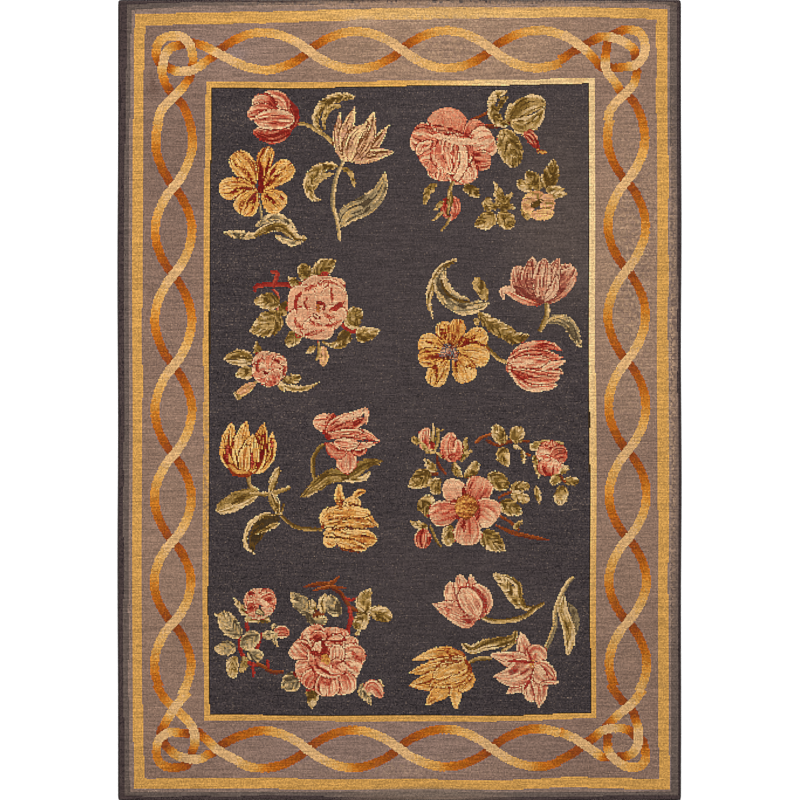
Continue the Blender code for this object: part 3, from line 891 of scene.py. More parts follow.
LOWER_RIGHT = Spray("dog rose among buds and leaves, and a small coral rose", (
    rust_twig((437, 453, 438, 464, 446, 475), 3, 0.1, 0.3),
    rust_twig((430, 474, 438, 474), 4, 0.3, 0.5),
    reed_leaf((418, 432, 425, 434, 424, 430), 4, 0.8, 0.8),
    red_oval((429, 452, 425, 440, 427, 428), 14, 0.6, 0.45, veins=0.4, streaks=0.35),
    Petal((432, 450, 433, 438, 433, 424), 5, 0.4, 0.9, Form.TAPER, run=Run.REED, rim=0, veins=0.2),
    olive_stem((437, 428, 438, 440, 434, 451), 3.4, 0.5, 0.6),
    red_line((432, 441, 433, 450), 5, 0.1, 0.2),
    olive_oval((421, 442, 416, 441, 411, 439), 7, 0.7, 0.8),
    olive_leaf((420, 442, 428, 452, 436, 453), 5, 0.7, 0.5),
    olive_stem((436, 432, 444, 430), 2, 0.6, 0.4),
    olive_leaf((461, 462, 463, 452, 467, 437), 8, 0.5, 0.6),
    olive_leaf((450, 459, 444, 456, 436, 453), 7, 0.5, 0.7),
    olive_leaf((458, 461, 466, 454, 474, 450), 5, 0.5, 0.5),
    rose_oval((453, 462, 449, 448, 452, 433), 18, 0.3, 0.8, veins=0.2),
    rose_oval((453, 462, 458, 450, 457, 440), 9, 0.3, 0.85, veins=0.2),
    red_line((452, 436, 453, 445), 4, 0.1, 0.3),
    red_line((448, 456, 458, 458), 8, 0.25, 0.4),
    gold_oval((454, 462, 456, 470, 462, 477), 8, 0.5, 0.6),
    gold_oval((464, 478, 473, 470, 476, 461), 11, 0.3, 0.6),
    gold_leaf((436, 472, 430, 466, 424, 458), 9, 0.4, 0.7),
    gold_leaf((429, 471, 420, 480, 408, 487), 19, 0.3, 0.7, side=0.1),
    gold_oval((440, 479, 435, 486, 438, 495), 11, 0.3, 0.4, side=-0.3),
    gold_leaf((420, 500, 427, 507, 428, 519), 20, 0.4, 0.5, Form.DROP),
    gold_leaf((428, 528, 420, 526, 410, 522), 8, 0.5, 0.7),
    olive_stem((430, 526, 436, 540, 441, 547), 3),
    red_oval((424, 529, 423, 538, 423, 549), 17, 0.45, 0.45, veins=0.4, streaks=0.35),
    gold_oval((449, 525, 449, 535, 448, 546), 14, 0.4, 0.75, side=-0.1),
    gold_leaf((484, 530, 491, 540, 506, 550), 20, 0.25, 0.75, side=-0.3),
    rust_twig((500, 516, 512, 523, 519, 530), 3.2, 0.4, 0.5),
    rust_twig((496, 525, 512, 532, 528, 536, 549, 540), 4.6, 0.5, 0.4, Form.OVAL, side=0.3),
    olive_leaf((514, 529, 518, 524, 523, 520), 5, 0.5, 0.5),
    gold_leaf((500, 502, 508, 506, 523, 514), 16, 0.3, 0.75, side=-0.35),
    gold_oval((488, 474, 497, 480, 508, 488), 17, 0.6, 0.4, side=-0.1),
    rust_twig((498, 498, 505, 494, 519, 490), 3, 0.3, 0.6),
    gold_oval((510, 489, 519, 486, 530, 486), 10, 0.5, 0.5, side=-0.2),
    gold_oval((511, 493, 520, 497, 530, 500), 11, 0.6, 0.75),
    gold_leaf((536, 486, 538, 495, 540, 504), 6, 0.5, 0.75),
    rust_twig((475, 443, 482, 437, 493, 434), 3.4, 0.7, 0.6),
    rust_twig((486, 440, 498, 445, 510, 441, 529, 441), 3.6, 0.3, 0.45),
    gold_oval((505, 443, 499, 434, 495, 424), 14, 0.5, 0.7, side=0.15),
    gold_oval((516, 443, 517, 434, 521, 426), 15, 0.5, 0.7, side=-0.15),
    gold_leaf((504, 447, 503, 456, 508, 466), 14, 0.25, 0.85),
    reed_leaf((513, 446, 521, 448), 4, 0.8, 0.8),
    reed_leaf((522, 449, 523, 456, 524, 463), 5, 0.7, 0.8),
    rust_twig((525, 454, 531, 455), 3, 0.5, 0.7),
    gold_oval((540, 446, 534, 447, 530, 444), 7, 0.6, 0.8),
    gold_leaf((534, 454, 537, 465, 539, 478), 7, 0.5, 0.8),
    olive_oval((533, 443, 548, 443, 564, 444), 6, 0.5, 0.7),
    rose_oval((552, 460, 551, 450, 552, 441), 22, 0.5, 0.45),
    rose_oval((552, 458, 545, 454, 536, 453), 15, 0.5, 0.8),
    rose_oval((552, 460, 560, 456, 567, 457), 21, 0.5, 0.2),
    rose_oval((552, 458, 551, 467, 552, 476), 26, 0.7, 0.25),
    red_line((543, 463, 546, 472, 554, 475), 4.4, 0.15, 0.3),
    rose_line((547, 466, 553, 464, 560, 465), 7, 0.9, 0.9),
    red_line((540, 455, 550, 456, 559, 461), 3, 0.4, 0.3),
    gold_oval((560, 474, 564, 470, 569, 467), 7, 0.5, 0.7),
    gold_oval((563, 478, 556, 479, 551, 484), 9, 0.4, 0.7),
    gold_oval((564, 480, 571, 481, 579, 482), 9),
    gold_oval((564, 486, 561, 495, 559, 505), 14, 0.3, 0.8),
    rust_twig((560, 475, 565, 482), 3, 0.2, 0.6),
    pale_oval((466, 508, 456, 494, 447, 480), 25, 0.55, 0.95, rim=0.1, flame=0.2, veins=0.1, streaks=0.14,
        hatch=Hatch.ALONG),
    rose_petal((468, 506, 477, 492, 484, 478), 27, 0.1, 0.7, veins=0.25, streaks=0.16),
    rose_petal((470, 506, 484, 511, 496, 520), 30, 0.25, 0.85, veins=0.15, streaks=0.16),
    rose_petal((468, 510, 468, 527, 467, 545), 27, 0.2, 0.85, veins=0.2, streaks=0.16),
    rose_petal((464, 508, 448, 512, 430, 517), 25, 0.1, 0.8, veins=0.25, streaks=0.16),
    red_line((463, 520, 464, 531), 5, 0, 0.2),
    red_line((463, 486, 465, 498), 4.4, 0, 0.1),
    red_line((477, 498, 479, 512, 476, 520), 4, 0.1, 0.1),
    red_line((450, 503, 457, 500), 5, 0.1, 0),
    red_line((456, 512, 459, 520), 4, 0.1, 0.1),
    Petal((455, 508, 466, 507, 477, 508), 23, 0.5, 0.5, Form.OVAL, run=Run.POLLEN, rim=0, flame=-0.3,
        hatch=Hatch.WAVED, grain=0.4, ragged=2.4),
))

END_LEFT = Spray("coral peony under a rust twig, and a small rose", (
    rust_twig((304, 587, 318, 584, 331, 583, 339, 576), 5, 0.3, 0.75, Form.OVAL, side=0.3),
    rust_twig((313, 590, 328, 587, 346, 588), 3.6, 0.7, 0.6, Form.OVAL),
    rust_twig((330, 586, 340, 592, 346, 601, 353, 609, 366, 612, 369, 617), 4.4, 0.35, 0.3),
    crimson_twig((345, 598, 351, 600, 358, 597), 2.8, 0.5, 0.5),
    crimson_twig((349, 606, 351, 618, 348, 630, 349, 637), 4.4, 0.8, 0.2),
    sage_leaf((310, 614, 301, 603, 290, 592), 16, 0.5, 0.8, side=0.1, rim=0.2),
    reed_leaf((315, 614, 314, 606, 312, 599), 5, 0.7, 0.85),
    sage_oval((306, 612, 316, 618, 327, 622), 15, 0.5, 0.7),
    Petal((313, 617, 318, 613, 324, 614), 4, 0.2, 0.4, Form.OVAL, run=Run.TWIG_RUST, rim=0),
    reed_leaf((324, 613, 322, 603, 326, 592), 8, 0.6, 0.8, hatch=Hatch.ALONG),
    sage_oval((340, 615, 333, 606, 330, 595), 16, 0.6, 0.6, vein_share=0.36),
    reed_leaf((366, 613, 364, 601, 371, 589), 16, 0.5, 0.75, side=0.1, rim=0.2),
    reed_oval((369, 611, 379, 613, 392, 619), 15, 0.7, 0.5, rim=0.15, hatch=Hatch.HERRINGBONE),
    reed_oval((367, 612, 361, 621, 355, 629), 15, 0.6, 0.7, vein_share=0.36, hatch=Hatch.HERRINGBONE),
    reed_leaf((360, 629, 358, 633, 355, 637), 4, 0.7, 0.7),
    sage_leaf((300, 679, 291, 682, 281, 688), 20, 0.3, 0.9, vein_share=0.36),
    reed_leaf((312, 687, 312, 698, 311, 709), 13, 0.35, 0.8, Form.DROP),
    sage_oval((366, 684, 363, 690, 369, 700), 11, 0.7, 0.7),
    sage_leaf((374, 684, 380, 682, 383, 687), 5, 0.6, 0.5),
    sage_leaf((368, 697, 369, 701, 371, 705), 4, 0.6, 0.6),
    red_oval((366, 692, 372, 686, 382, 697), 13, 0.7, 0.5, veins=0.35),
    rose_petal((329, 655, 316, 640, 307, 628), 28, 0.56, 0.81),
    rose_petal((330, 655, 334, 640, 336, 627), 30, 0.56, 0.76),
    rose_petal((340, 655, 349, 646, 354, 637), 16, 0.36, 0.66),
    rose_oval((338, 658, 352, 656, 366, 656), 25, 0.76, 0.41),
    rose_petal((312, 658, 303, 651, 294, 643), 26, 0.46, 0.81, veins=0.4),
    rose_petal((316, 662, 306, 670, 296, 673), 25, 0.41, 0.91),
    rose_petal((320, 668, 312, 680, 308, 688), 22, 0.51, 0.46),
    rose_petal((340, 662, 350, 668, 359, 673), 25, 0.46, 0.91, veins=0.35, hatch=Hatch.WAVED),
    rose_petal((336, 668, 343, 681, 346, 694), 25, 0.41, 0.81, veins=0.25),
    rose_petal((328, 668, 327, 682, 327, 696), 24, 0.36, 0.81, veins=0.4),
    rose_oval((312, 642, 328, 662, 344, 672), 30, 0.66, 0.66, rim=0, veins=0.5, vein_share=0.34,
        hatch=Hatch.WAVED),
    rose_oval((311, 640, 318, 634, 327, 640), 8, 0.31, 0.56),
    red_petal((311, 648, 318, 638, 325, 647, 320, 655, 312, 652), 2.4, 0.05, 0.1, Form.STRAP, rim=0),
    rose_line((318, 642, 317, 650), 7, 0.85, 0.9),
    rose_oval((326, 645, 336, 640, 344, 644), 12, 0.5, 0.55, rim=0.2),
    rose_oval((335, 664, 337, 654, 336, 644), 15, 0.56, 0.86, flame=-0.2),
    crimson_twig((326, 640, 336, 641, 346, 640), 2.2, 0.1, 0.3, side=0),
    rose_oval((332, 668, 335, 661, 341, 660), 5, 0.26, 0.36, rim=0.2),
    red_line((300, 642, 308, 646, 312, 652), 3.2, 0.25, 0.15),
    red_line((350, 650, 357, 658, 363, 664), 5, 0.3, 0.35),
    red_line((323, 682, 331, 683), 7, 0.4, 0.3),
    red_line((309, 665, 314, 671, 316, 680), 4, 0.2, 0.4),
    Accent((321, 661, 325, 658, 328, 664), 8, 0.7, 0.9, run=Run.POLLEN),
    crimson_twig((247, 619, 247, 627, 248, 634), 3.8, 0.4, 0.4),
    crimson_twig((239, 634, 240, 648, 244, 658, 251, 664, 258, 665), 4, 0.2, 0.5),
    crimson_twig((261, 633, 259, 642, 256, 650), 4, 0.1, 0.5),
    crimson_twig((252, 662, 253, 670, 253, 677), 3.4, 0.5, 0.3),
    rust_twig((256, 663, 265, 668, 272, 672, 283, 672), 4.2, 0.6, 0.3),
    crimson_twig((267, 660, 268, 668), 3, 0.3, 0.6),
    sage_oval((240, 637, 230, 626, 221, 612), 19, 0.5, 0.85, vein_share=0.36),
    reed_leaf((224, 616, 218, 615, 214, 613), 4, 0.7, 0.8),
    sage_leaf((235, 646, 226, 648, 213, 649), 15, 0.4, 0.9, rim=0.3),
    reed_oval((235, 656, 232, 666, 233, 678), 13, 0.4, 0.8, side=-0.15, hatch=Hatch.HERRINGBONE),
    olive_oval((243, 656, 244, 664, 240, 672), 8, 0.4, 0.8),
    sage_oval((259, 634, 250, 640, 244, 650), 17, 0.6, 0.65, rim=0.4, vein_share=0.34),
    sage_oval((247, 652, 254, 655, 263, 656), 12, 0.7, 0.5, vein_share=0.36),
    reed_leaf((248, 616, 240, 607, 234, 598), 7, 0.5, 0.9),
    reed_oval((244, 620, 256, 618, 271, 621), 9, 0.7, 0.7),
    red_oval((260, 604, 253, 598, 247, 593), 23, 0.45, 0.75, hatch=Hatch.WAVED),
    red_oval((260, 604, 262, 597, 262, 588), 24, 0.45, 0.7, hatch=Hatch.WAVED),
    red_oval((261, 604, 269, 602, 276, 602), 27, 0.45, 0.7, hatch=Hatch.WAVED),
    red_oval((258, 606, 252, 610, 247, 612), 19, 0.6, 0.65, veins=0.25, hatch=Hatch.WAVED),
    red_oval((256, 618, 264, 612, 273, 611), 11, 0.7, 0.9, veins=0.2),
    red_line((254, 594, 262, 602, 270, 606), 6, 0.8, 0.9),
    red_line((248, 593, 254, 594), 4, 0.1, 0.1),
    red_line((247, 600, 256, 598, 266, 592), 4, 0.75, 0.85),
    red_line((256, 608, 264, 610, 272, 604), 4, 0.7, 0.8),
    red_line((246, 609, 258, 607), 3.2, 0.1, 0.15),
    Petal((256, 610, 263, 614), 4, 0.7, 0.8, Form.OVAL, run=Run.SAGE, rim=0),
    red_oval((274, 634, 281, 632, 289, 634), 13, 0.7, 0.5, side=-0.1),
    sage_oval((262, 635, 270, 635, 278, 637), 9, 0.7, 0.7),
    sage_leaf((272, 629, 274, 626, 277, 624), 4, 0.5, 0.5),
    sage_leaf((272, 640, 276, 643, 278, 647), 4, 0.6, 0.7),
))

END_RIGHT = Spray("pink tulip, yellow parrot tulip and pink lily", (
    gold_oval((536, 607, 525, 607, 520, 598, 518, 585, 510, 578, 503, 575), 7, 0.55, 0.7,
        hatch=Hatch.ALONG),
    gold_oval((519, 608, 513, 596, 505, 584, 494, 573), 11, 0.6, 0.75, side=0.15),
    straw_stem((480, 616, 494, 621, 510, 620, 525, 616, 535, 608, 545, 603), 5, 0.55, 0.5, side=-0.35),
    gold_oval((516, 630, 513, 638, 500, 642, 484, 645, 472, 650, 462, 643), 11, 0.35, 0.75, vein_share=0.34,
        hatch=Hatch.ALONG),
    straw_stem((516, 641, 508, 647, 502, 651), 3.4, 0.4, 0.7),
    straw_stem((468, 663, 478, 659, 492, 658), 4, 0.5, 0.6),
    Leaf((569, 603, 575, 614, 576, 627, 571, 640), 7, 0.5, 0.7, Form.OVAL, run=Run.DULL_GREEN, rim=0.1),
    Stem((545, 652, 550, 640, 555, 627, 556, 612, 561, 597, 567, 585, 574, 577), 5, 0.4, 0.6,
        run=Run.REED_STEM),
    reed_oval((564, 596, 563, 610, 568, 624, 570, 640, 568, 655), 12, 0.6, 0.75, veins=0.3),
    dusty_oval((474, 618, 456, 600, 450, 582), 20, 0.19, 0.84),
    dusty_oval((475, 616, 466, 596, 459, 575), 17, 0.24, 0.84, veins=0.35),
    dusty_petal((477, 616, 474, 596, 471, 574), 15, 0.34, 0.84, Form.LEAF),
    dusty_oval((480, 617, 486, 601, 476, 584), 15, 0.19, 0.79, side=-0.15),
    dusty_oval((479, 620, 468, 588), 25, 0.14, 0.14, rim=0.1, veins=0),
    dusty_petal((476, 621, 455, 612, 433, 604), 23, 0.64, 0.89, Form.DROP, vein_share=0.34),
    red_line((447, 606, 449, 616), 3.4, 0.2, 0.4),
    dusty_oval((460, 619, 470, 619, 480, 617), 6, 0.24, 0.14, veins=0.4),
    dusty_oval((479, 616, 472, 604, 462, 589), 21, 0.69, 0.94, rim=0.2, veins=0.3, shade_line=2.4),
    apricot_point((468, 662, 445, 653, 413, 660), 13, 0.35, 0.9, side=-0.2, rim=0.25),
    apricot_petal((465, 657, 456, 654, 448, 652), 9, 0.1, 0.4, Form.OVAL, rim=0),
    apricot_point((466, 664, 438, 667, 409, 673), 16, 0.5, 0.8, veins=0.4),
    apricot_point((452, 675, 430, 682, 409, 686), 19, 0.35, 0.7, veins=0.4),
    apricot_point((457, 683, 440, 692, 426, 705), 16, 0.4, 0.6, side=0.2, veins=0.35),
    apricot_point((460, 678, 456, 692, 456, 710), 12, 0.5, 0.85, veins=0.25),
    apricot_petal((464, 668, 468, 680, 460, 691), 14, 0.4, 0.7, Form.OVAL, veins=0.4),
    apricot_petal((470, 664, 448, 676, 430, 686), 28, 0.55, 0.85, Form.DROP, veins=0.45, vein_share=0.3),
    apricot_petal((468, 662, 450, 668, 434, 678), 15, 0.7, 0.95, Form.OVAL, veins=0.2),
    apricot_line((464, 659, 470, 668, 466, 684), 4.4, 0.1, 0.3),
    apricot_line((442, 660, 466, 662), 3, 0.05, 0.15),
    apricot_line((432, 668, 444, 665, 458, 662), 2.4, 0.1, 0.1),
    dusty_petal((531, 666, 525, 650, 521, 632), 16, 0.39, 0.79, Form.LEAF, rim=0.35),
    dusty_petal((531, 664, 510, 659, 490, 654), 18, 0.54, 0.89, Form.DROP),
    dusty_oval((531, 662, 536, 652, 546, 660), 16, 0.59, 0.74, veins=0.35),
    dusty_petal((533, 668, 522, 682, 507, 693), 20, 0.54, 0.84, Form.DROP),
    dusty_oval((532, 672, 530, 688, 532, 702), 15, 0.49, 0.79, veins=0.4),
    dusty_petal((534, 672, 541, 688, 539, 707), 15, 0.54, 0.84, Form.LEAF),
    dusty_petal((533, 665, 545, 673, 557, 683), 22, 0.64, 0.54, Form.LEAF),
    dusty_oval((534, 664, 540, 676, 548, 682), 14, 0.89, 0.74),
    dusty_petal((540, 683, 559, 682), 3.4, 0.8, 0.9, Form.STRAP, rim=0, veins=0.3),
    dusty_petal((532, 665, 512, 676, 494, 676), 26, 0.74, 0.94, Form.DROP, veins=0.4, vein_share=0.38,
        stroke=2),
    apricot_line((532, 660, 533, 670), 5, 0.6, 0.3),
    crimson_twig((508, 661, 520, 661, 534, 662), 2.4, 0.5, 0.3, side=0),
    crimson_twig((527, 648, 530, 656, 532, 662), 2.2, 0.5, 0.3, side=0),
    crimson_twig((534, 668, 530, 680, 524, 690), 2.2, 0.3, 0.6, side=0),
))

SPRAYS = (UPPER_LEFT, UPPER_RIGHT, MIDDLE_LEFT, MIDDLE_RIGHT, LOWER_LEFT, LOWER_RIGHT, END_LEFT, END_RIGHT)


@dataclass(frozen=True)
class Ground:
    """A plain ground, whose shade wanders from knot to knot, along the rows and over the whole cloth."""

    run: Run
    tone: float = 0.5
    grain: float = 0.2
    rows: float = 0.14
    clouds: float = 0.12
    row_swell: float = 9.0
    cloud_size: Place = (38.0, 24.0)

    def paint(self, chart: Chart, inside: Grid, seed: int) -> None:
        """Charts the ground.

        Args:
            chart: The chart.
            inside: Which knots it covers.
            seed: Its own number.
        """
        rows = drift(chart.x / self.row_swell, chart.number_y, seed) - 0.5
        clouds = drift(chart.x / self.cloud_size[0], chart.y / self.cloud_size[1], seed + 1) - 0.5
        tone = self.tone + self.rows * rows + self.clouds * clouds
        chart.lay(WHOLE_SHEET, inside, self.run, tone + self.grain * chart.grain(WHOLE_SHEET, seed + 2))


@dataclass(frozen=True)
class Border:
    """The line where one band of the frame begins, a little uneven on each of its four sides.

    Each side has a few places along it, each followed by where the line is there, across it.
    """

    left: Numbers
    right: Numbers
    top: Numbers
    bottom: Numbers
    unevenness: float = 0.6
    swell: float = 32.0
    seed: int = 77

    def inside(self, chart: Chart) -> Grid:
        """Which knots the line goes around.

        Args:
            chart: The chart.

        Returns:
            True for each knot inside.
        """
        return (
            (chart.x > self.line_at(self.left, chart.y))
            & (chart.x < self.line_at(self.right, chart.y))
            & (chart.y > self.line_at(self.top, chart.x))
            & (chart.y < self.line_at(self.bottom, chart.x))
        )

    def line_at(self, side: Numbers, along: Grid) -> Grid:
        """Where one side's line is at each place along it.

        Args:
            side: The side's numbers.
            along: The places asked for.

        Returns:
            The line's places across.
        """
        places, values = side[::2], side[1::2]
        wander = drift(along / self.swell, np.full_like(along, values[0]), self.seed) - 0.5
        return np.interp(along, places, values) + self.unevenness * wander


@dataclass(frozen=True)
class Band:
    """One band of the frame: the line where it begins, and its wool."""

    name: str
    border: Border
    ground: Ground


FRAME = (
    Band("dark edge", Border(
        left=(0, 119.6, 800, 119.6),
        right=(0, 680, 800, 680),
        top=(118, 0.6, 681, 0.6),
        bottom=(118, 799.4, 681, 799.4),
    ), Ground(Run.BROWN, 0.4)),
    Band("grey edge", Border(
        left=(0, 127, 60, 125.5, 200, 123.6, 700, 123.2, 800, 124.5),
        right=(0, 677.5, 800, 679),
        top=(118, 5, 200, 2, 640, 1.4, 681, 3),
        bottom=(118, 796, 681, 796),
    ), Ground(Run.GREY, 0.5)),
    Band("lavender edge", Border(
        left=(0, 131.4, 60, 129.6, 200, 128.4, 700, 128, 800, 129.6),
        right=(0, 670.4, 300, 671.4, 800, 672),
        top=(118, 10.8, 200, 6, 350, 3.8, 640, 3.6, 681, 6),
        bottom=(118, 791.4, 400, 792, 681, 791.6),
    ), Ground(Run.LAVENDER, 0.5)),
    Band("outer gold", Border(
        left=(15, 134, 60, 133, 200, 132, 410, 132.2, 600, 131.5, 700, 132, 780, 133.5),
        right=(20, 668, 200, 668.6, 410, 669, 600, 668.7, 780, 670),
        top=(135, 14.3, 220, 12.5, 320, 9.8, 400, 8, 520, 6.9, 600, 7.6, 660, 9.2),
        bottom=(145, 788.7, 250, 788, 320, 789.8, 500, 790, 570, 786.9, 655, 790),
    ), Ground(Run.GILT, 0.6, grain=0.1, rows=0.12, clouds=0.06)),
    Band("border ground", Border(
        left=(15, 144.8, 60, 143.3, 200, 142.6, 410, 141.9, 600, 141.2, 700, 141.7, 780, 144),
        right=(20, 657.1, 100, 656.6, 200, 657.6, 410, 657.6, 600, 658.9, 700, 658.2, 780, 660.2),
        top=(135, 25.6, 220, 24.3, 320, 21, 400, 19.8, 520, 17.6, 600, 17.8, 660, 19.6),
        bottom=(145, 778.4, 250, 777.8, 320, 778.4, 400, 779, 500, 780.2, 570, 776.7, 655, 778.9),
    ), Ground(Run.TAUPE, 0.5, grain=0.2, clouds=0.18)),
    Band("inner gold", Border(
        left=(90, 205.6, 200, 203.7, 600, 202.4, 710, 203.7),
        right=(85, 595.1, 200, 595.1, 600, 597, 710, 596.5),
        top=(206, 81.8, 320, 82, 430, 81, 520, 79.7, 590, 78),
        bottom=(208, 720.5, 320, 721, 480, 721.6, 590, 718.4),
    ), Ground(Run.GILT, 0.6, grain=0.1, rows=0.12, clouds=0.06)),
    Band("field rim", Border(
        left=(90, 210.8, 200, 209.7, 600, 207.5, 710, 208.8),
        right=(85, 589.3, 200, 589.3, 600, 590.6, 710, 592),
        top=(206, 87.6, 320, 87.5, 430, 85.7, 520, 84.8, 590, 83.3),
        bottom=(208, 714.7, 320, 716, 480, 716.4, 590, 713.2),
    ), Ground(Run.SHADE, 0.3)),
    Band("field", Border(
        left=(90, 211.9, 200, 210.8, 600, 208.6, 710, 209.9),
        right=(85, 588.2, 200, 588.2, 600, 589.5, 710, 590.9),
        top=(206, 88.7, 320, 88.6, 430, 86.8, 520, 85.9, 590, 84.4),
        bottom=(208, 713.6, 320, 714.9, 480, 715.3, 590, 712.1),
    ), Ground(Run.CHARCOAL, 0.47, grain=0.3, rows=0.2, clouds=0.16)),
)


@dataclass(frozen=True)
class Ribbon:
    """One ribbon of the guilloche.

    The stations have the x, y and tone of each of its places in turn. Its tones go from dark, where it runs
    under the other ribbon, to pale, where it runs over.
    """

    stations: Numbers
    width: float = 9.0
    steps: int = 4
    overlap: float = 0.3
    ragged: float = 0.8
    ragged_swell: float = 2.2
    grain: float = 0.05
    speck: float = 0.08
    speck_swell: float = 1.4

    def paint(self, chart: Chart, heights: Grid, seed: int) -> None:
        """Charts the ribbon piece by piece, wherever its tone lies above what is there.

        Args:
            chart: The chart.
            heights: The tone of the highest ribbon so far at each knot, which is kept up to date.
            seed: Its own number.
        """
        line = smooth_line(self.stations, 3, self.steps)
        for index in range(0, len(line) - 1, 2):
            piece = line[index : index + 3]
            self.paint_piece(chart, heights, piece, seed)

    def paint_piece(self, chart: Chart, heights: Grid, piece: Grid, seed: int) -> None:
        """Charts one short piece with flat ends.

        Args:
            chart: The chart.
            heights: The tone of the highest ribbon so far at each knot.
            piece: Its places and tones.
            seed: The ribbon's number.
        """
        window = chart.window(piece, self.width / 2 + 2)
        x, y = chart.x[window], chart.y[window]
        if x.size == 0:
            return
        along, across = line_places(piece, x, y)
        ragged = self.ragged * (drift(x / self.ragged_swell, y / self.ragged_swell, seed) - 0.5)
        inside = np.abs(across) + ragged < self.width / 2
        inside &= (along > -self.overlap) & (along < 1 + self.overlap)
        height = np.interp(along, np.linspace(0, 1, len(piece)), piece[:, 2])
        inside &= height > heights[window]
        heights[window][inside] = height[inside]
        speck = self.grain * chart.grain(window, seed + 1)
        speck += self.speck * (drift(x / self.speck_swell, y / self.speck_swell, seed + 2) - 0.5)
        chart.lay(window, inside, Run.RIBBON, np.clip(height, 0, 1) + speck)


class Side(Enum):
    """Which way a side of the border runs on the sheet."""

    DOWN = 0
    ACROSS = 1


@dataclass(frozen=True)
class Guilloche:
    """Two ribbons that cross at even steps along one side of the border.

    `starts` and `ends` are the shares of the first and last span at which each of the two bulges is taken up
    and left off, the lesser side of the middle line first, because the corners are drawn by themselves.
    """

    side: Side
    crossings: tuple[float, ...]
    middle: tuple[float, float]
    starts: tuple[float, float]
    ends: tuple[float, float]
    swing: float = 18.8
    fullness: float = 0.85
    steps: int = 12
    rises: tuple[float, ...] = (0, 0.08, 0.14, 0.24, 0.36, 0.75, 1)
    tones: tuple[float, ...] = (0, 0.16, 0.3, 0.48, 0.66, 0.84, 1)

    def ribbons(self) -> list[Ribbon]:
        """Both ribbons of every span.

        Returns:
            The ribbons, two for each span.
        """
        made = []
        last = len(self.crossings) - 2
        for span in range(last + 1):
            for lesser in (0, 1):
                first = self.starts[lesser] if span == 0 else 0.0
                final = self.ends[lesser] if span == last else 1.0
                shares = [first + (final - first) * step / self.steps for step in range(self.steps + 1)]
                made.append(Ribbon(tuple(n for share in shares for n in self.station(span, lesser, share))))
        return made

    def station(self, span: int, bulge: int, share: float) -> tuple[float, float, float]:
        """One place of a ribbon.

        Args:
            span: Which span between two crossings.
            bulge: 0 for the bulge to the left or top, 1 for the other.
            share: How far through the span.

        Returns:
            The place on the sheet, and its tone.
        """
        start, end = self.crossings[span], self.crossings[span + 1]
        along = start + (end - start) * share
        middle = self.middle[0] + (self.middle[1] - self.middle[0]) * span / (len(self.crossings) - 2)
        bow = max(0.0, math.sin(math.pi * share)) ** self.fullness
        away = self.swing * bow * (-1 if bulge == 0 else 1)
        if self.side is Side.DOWN:
            rise = share if bulge == 1 else 1 - share
            return middle + away, along, rise
        rise = share if bulge == 0 else 1 - share
        tone = float(np.interp(rise, self.rises, self.tones))
        return along, middle + away, tone


GUILLOCHES = (
    Guilloche(Side.DOWN, (95, 187, 275, 366, 455, 541, 623, 706), (173.6, 172.2),
              (0.3, 0.3), (0.76, 0.86), 18.4),
    Guilloche(Side.DOWN, (94, 181.5, 270, 361, 451, 539, 622, 706), (626.6, 628.5),
              (0.3, 0.34), (0.76, 0.82)),
    Guilloche(Side.ACROSS, (218.5, 309, 402, 492, 584), (51, 49), (0.0, 0.2), (0.8, 0.74)),
    Guilloche(Side.ACROSS, (218, 307.4, 398.7, 491.8, 583.2), (749.4, 747.4), (0.35, 0.24), (0.74, 0.74),
              rises=(0, 0.1, 0.25, 0.46, 0.56, 0.78, 1), tones=(0, 0.12, 0.24, 0.38, 0.62, 0.84, 1)),
)

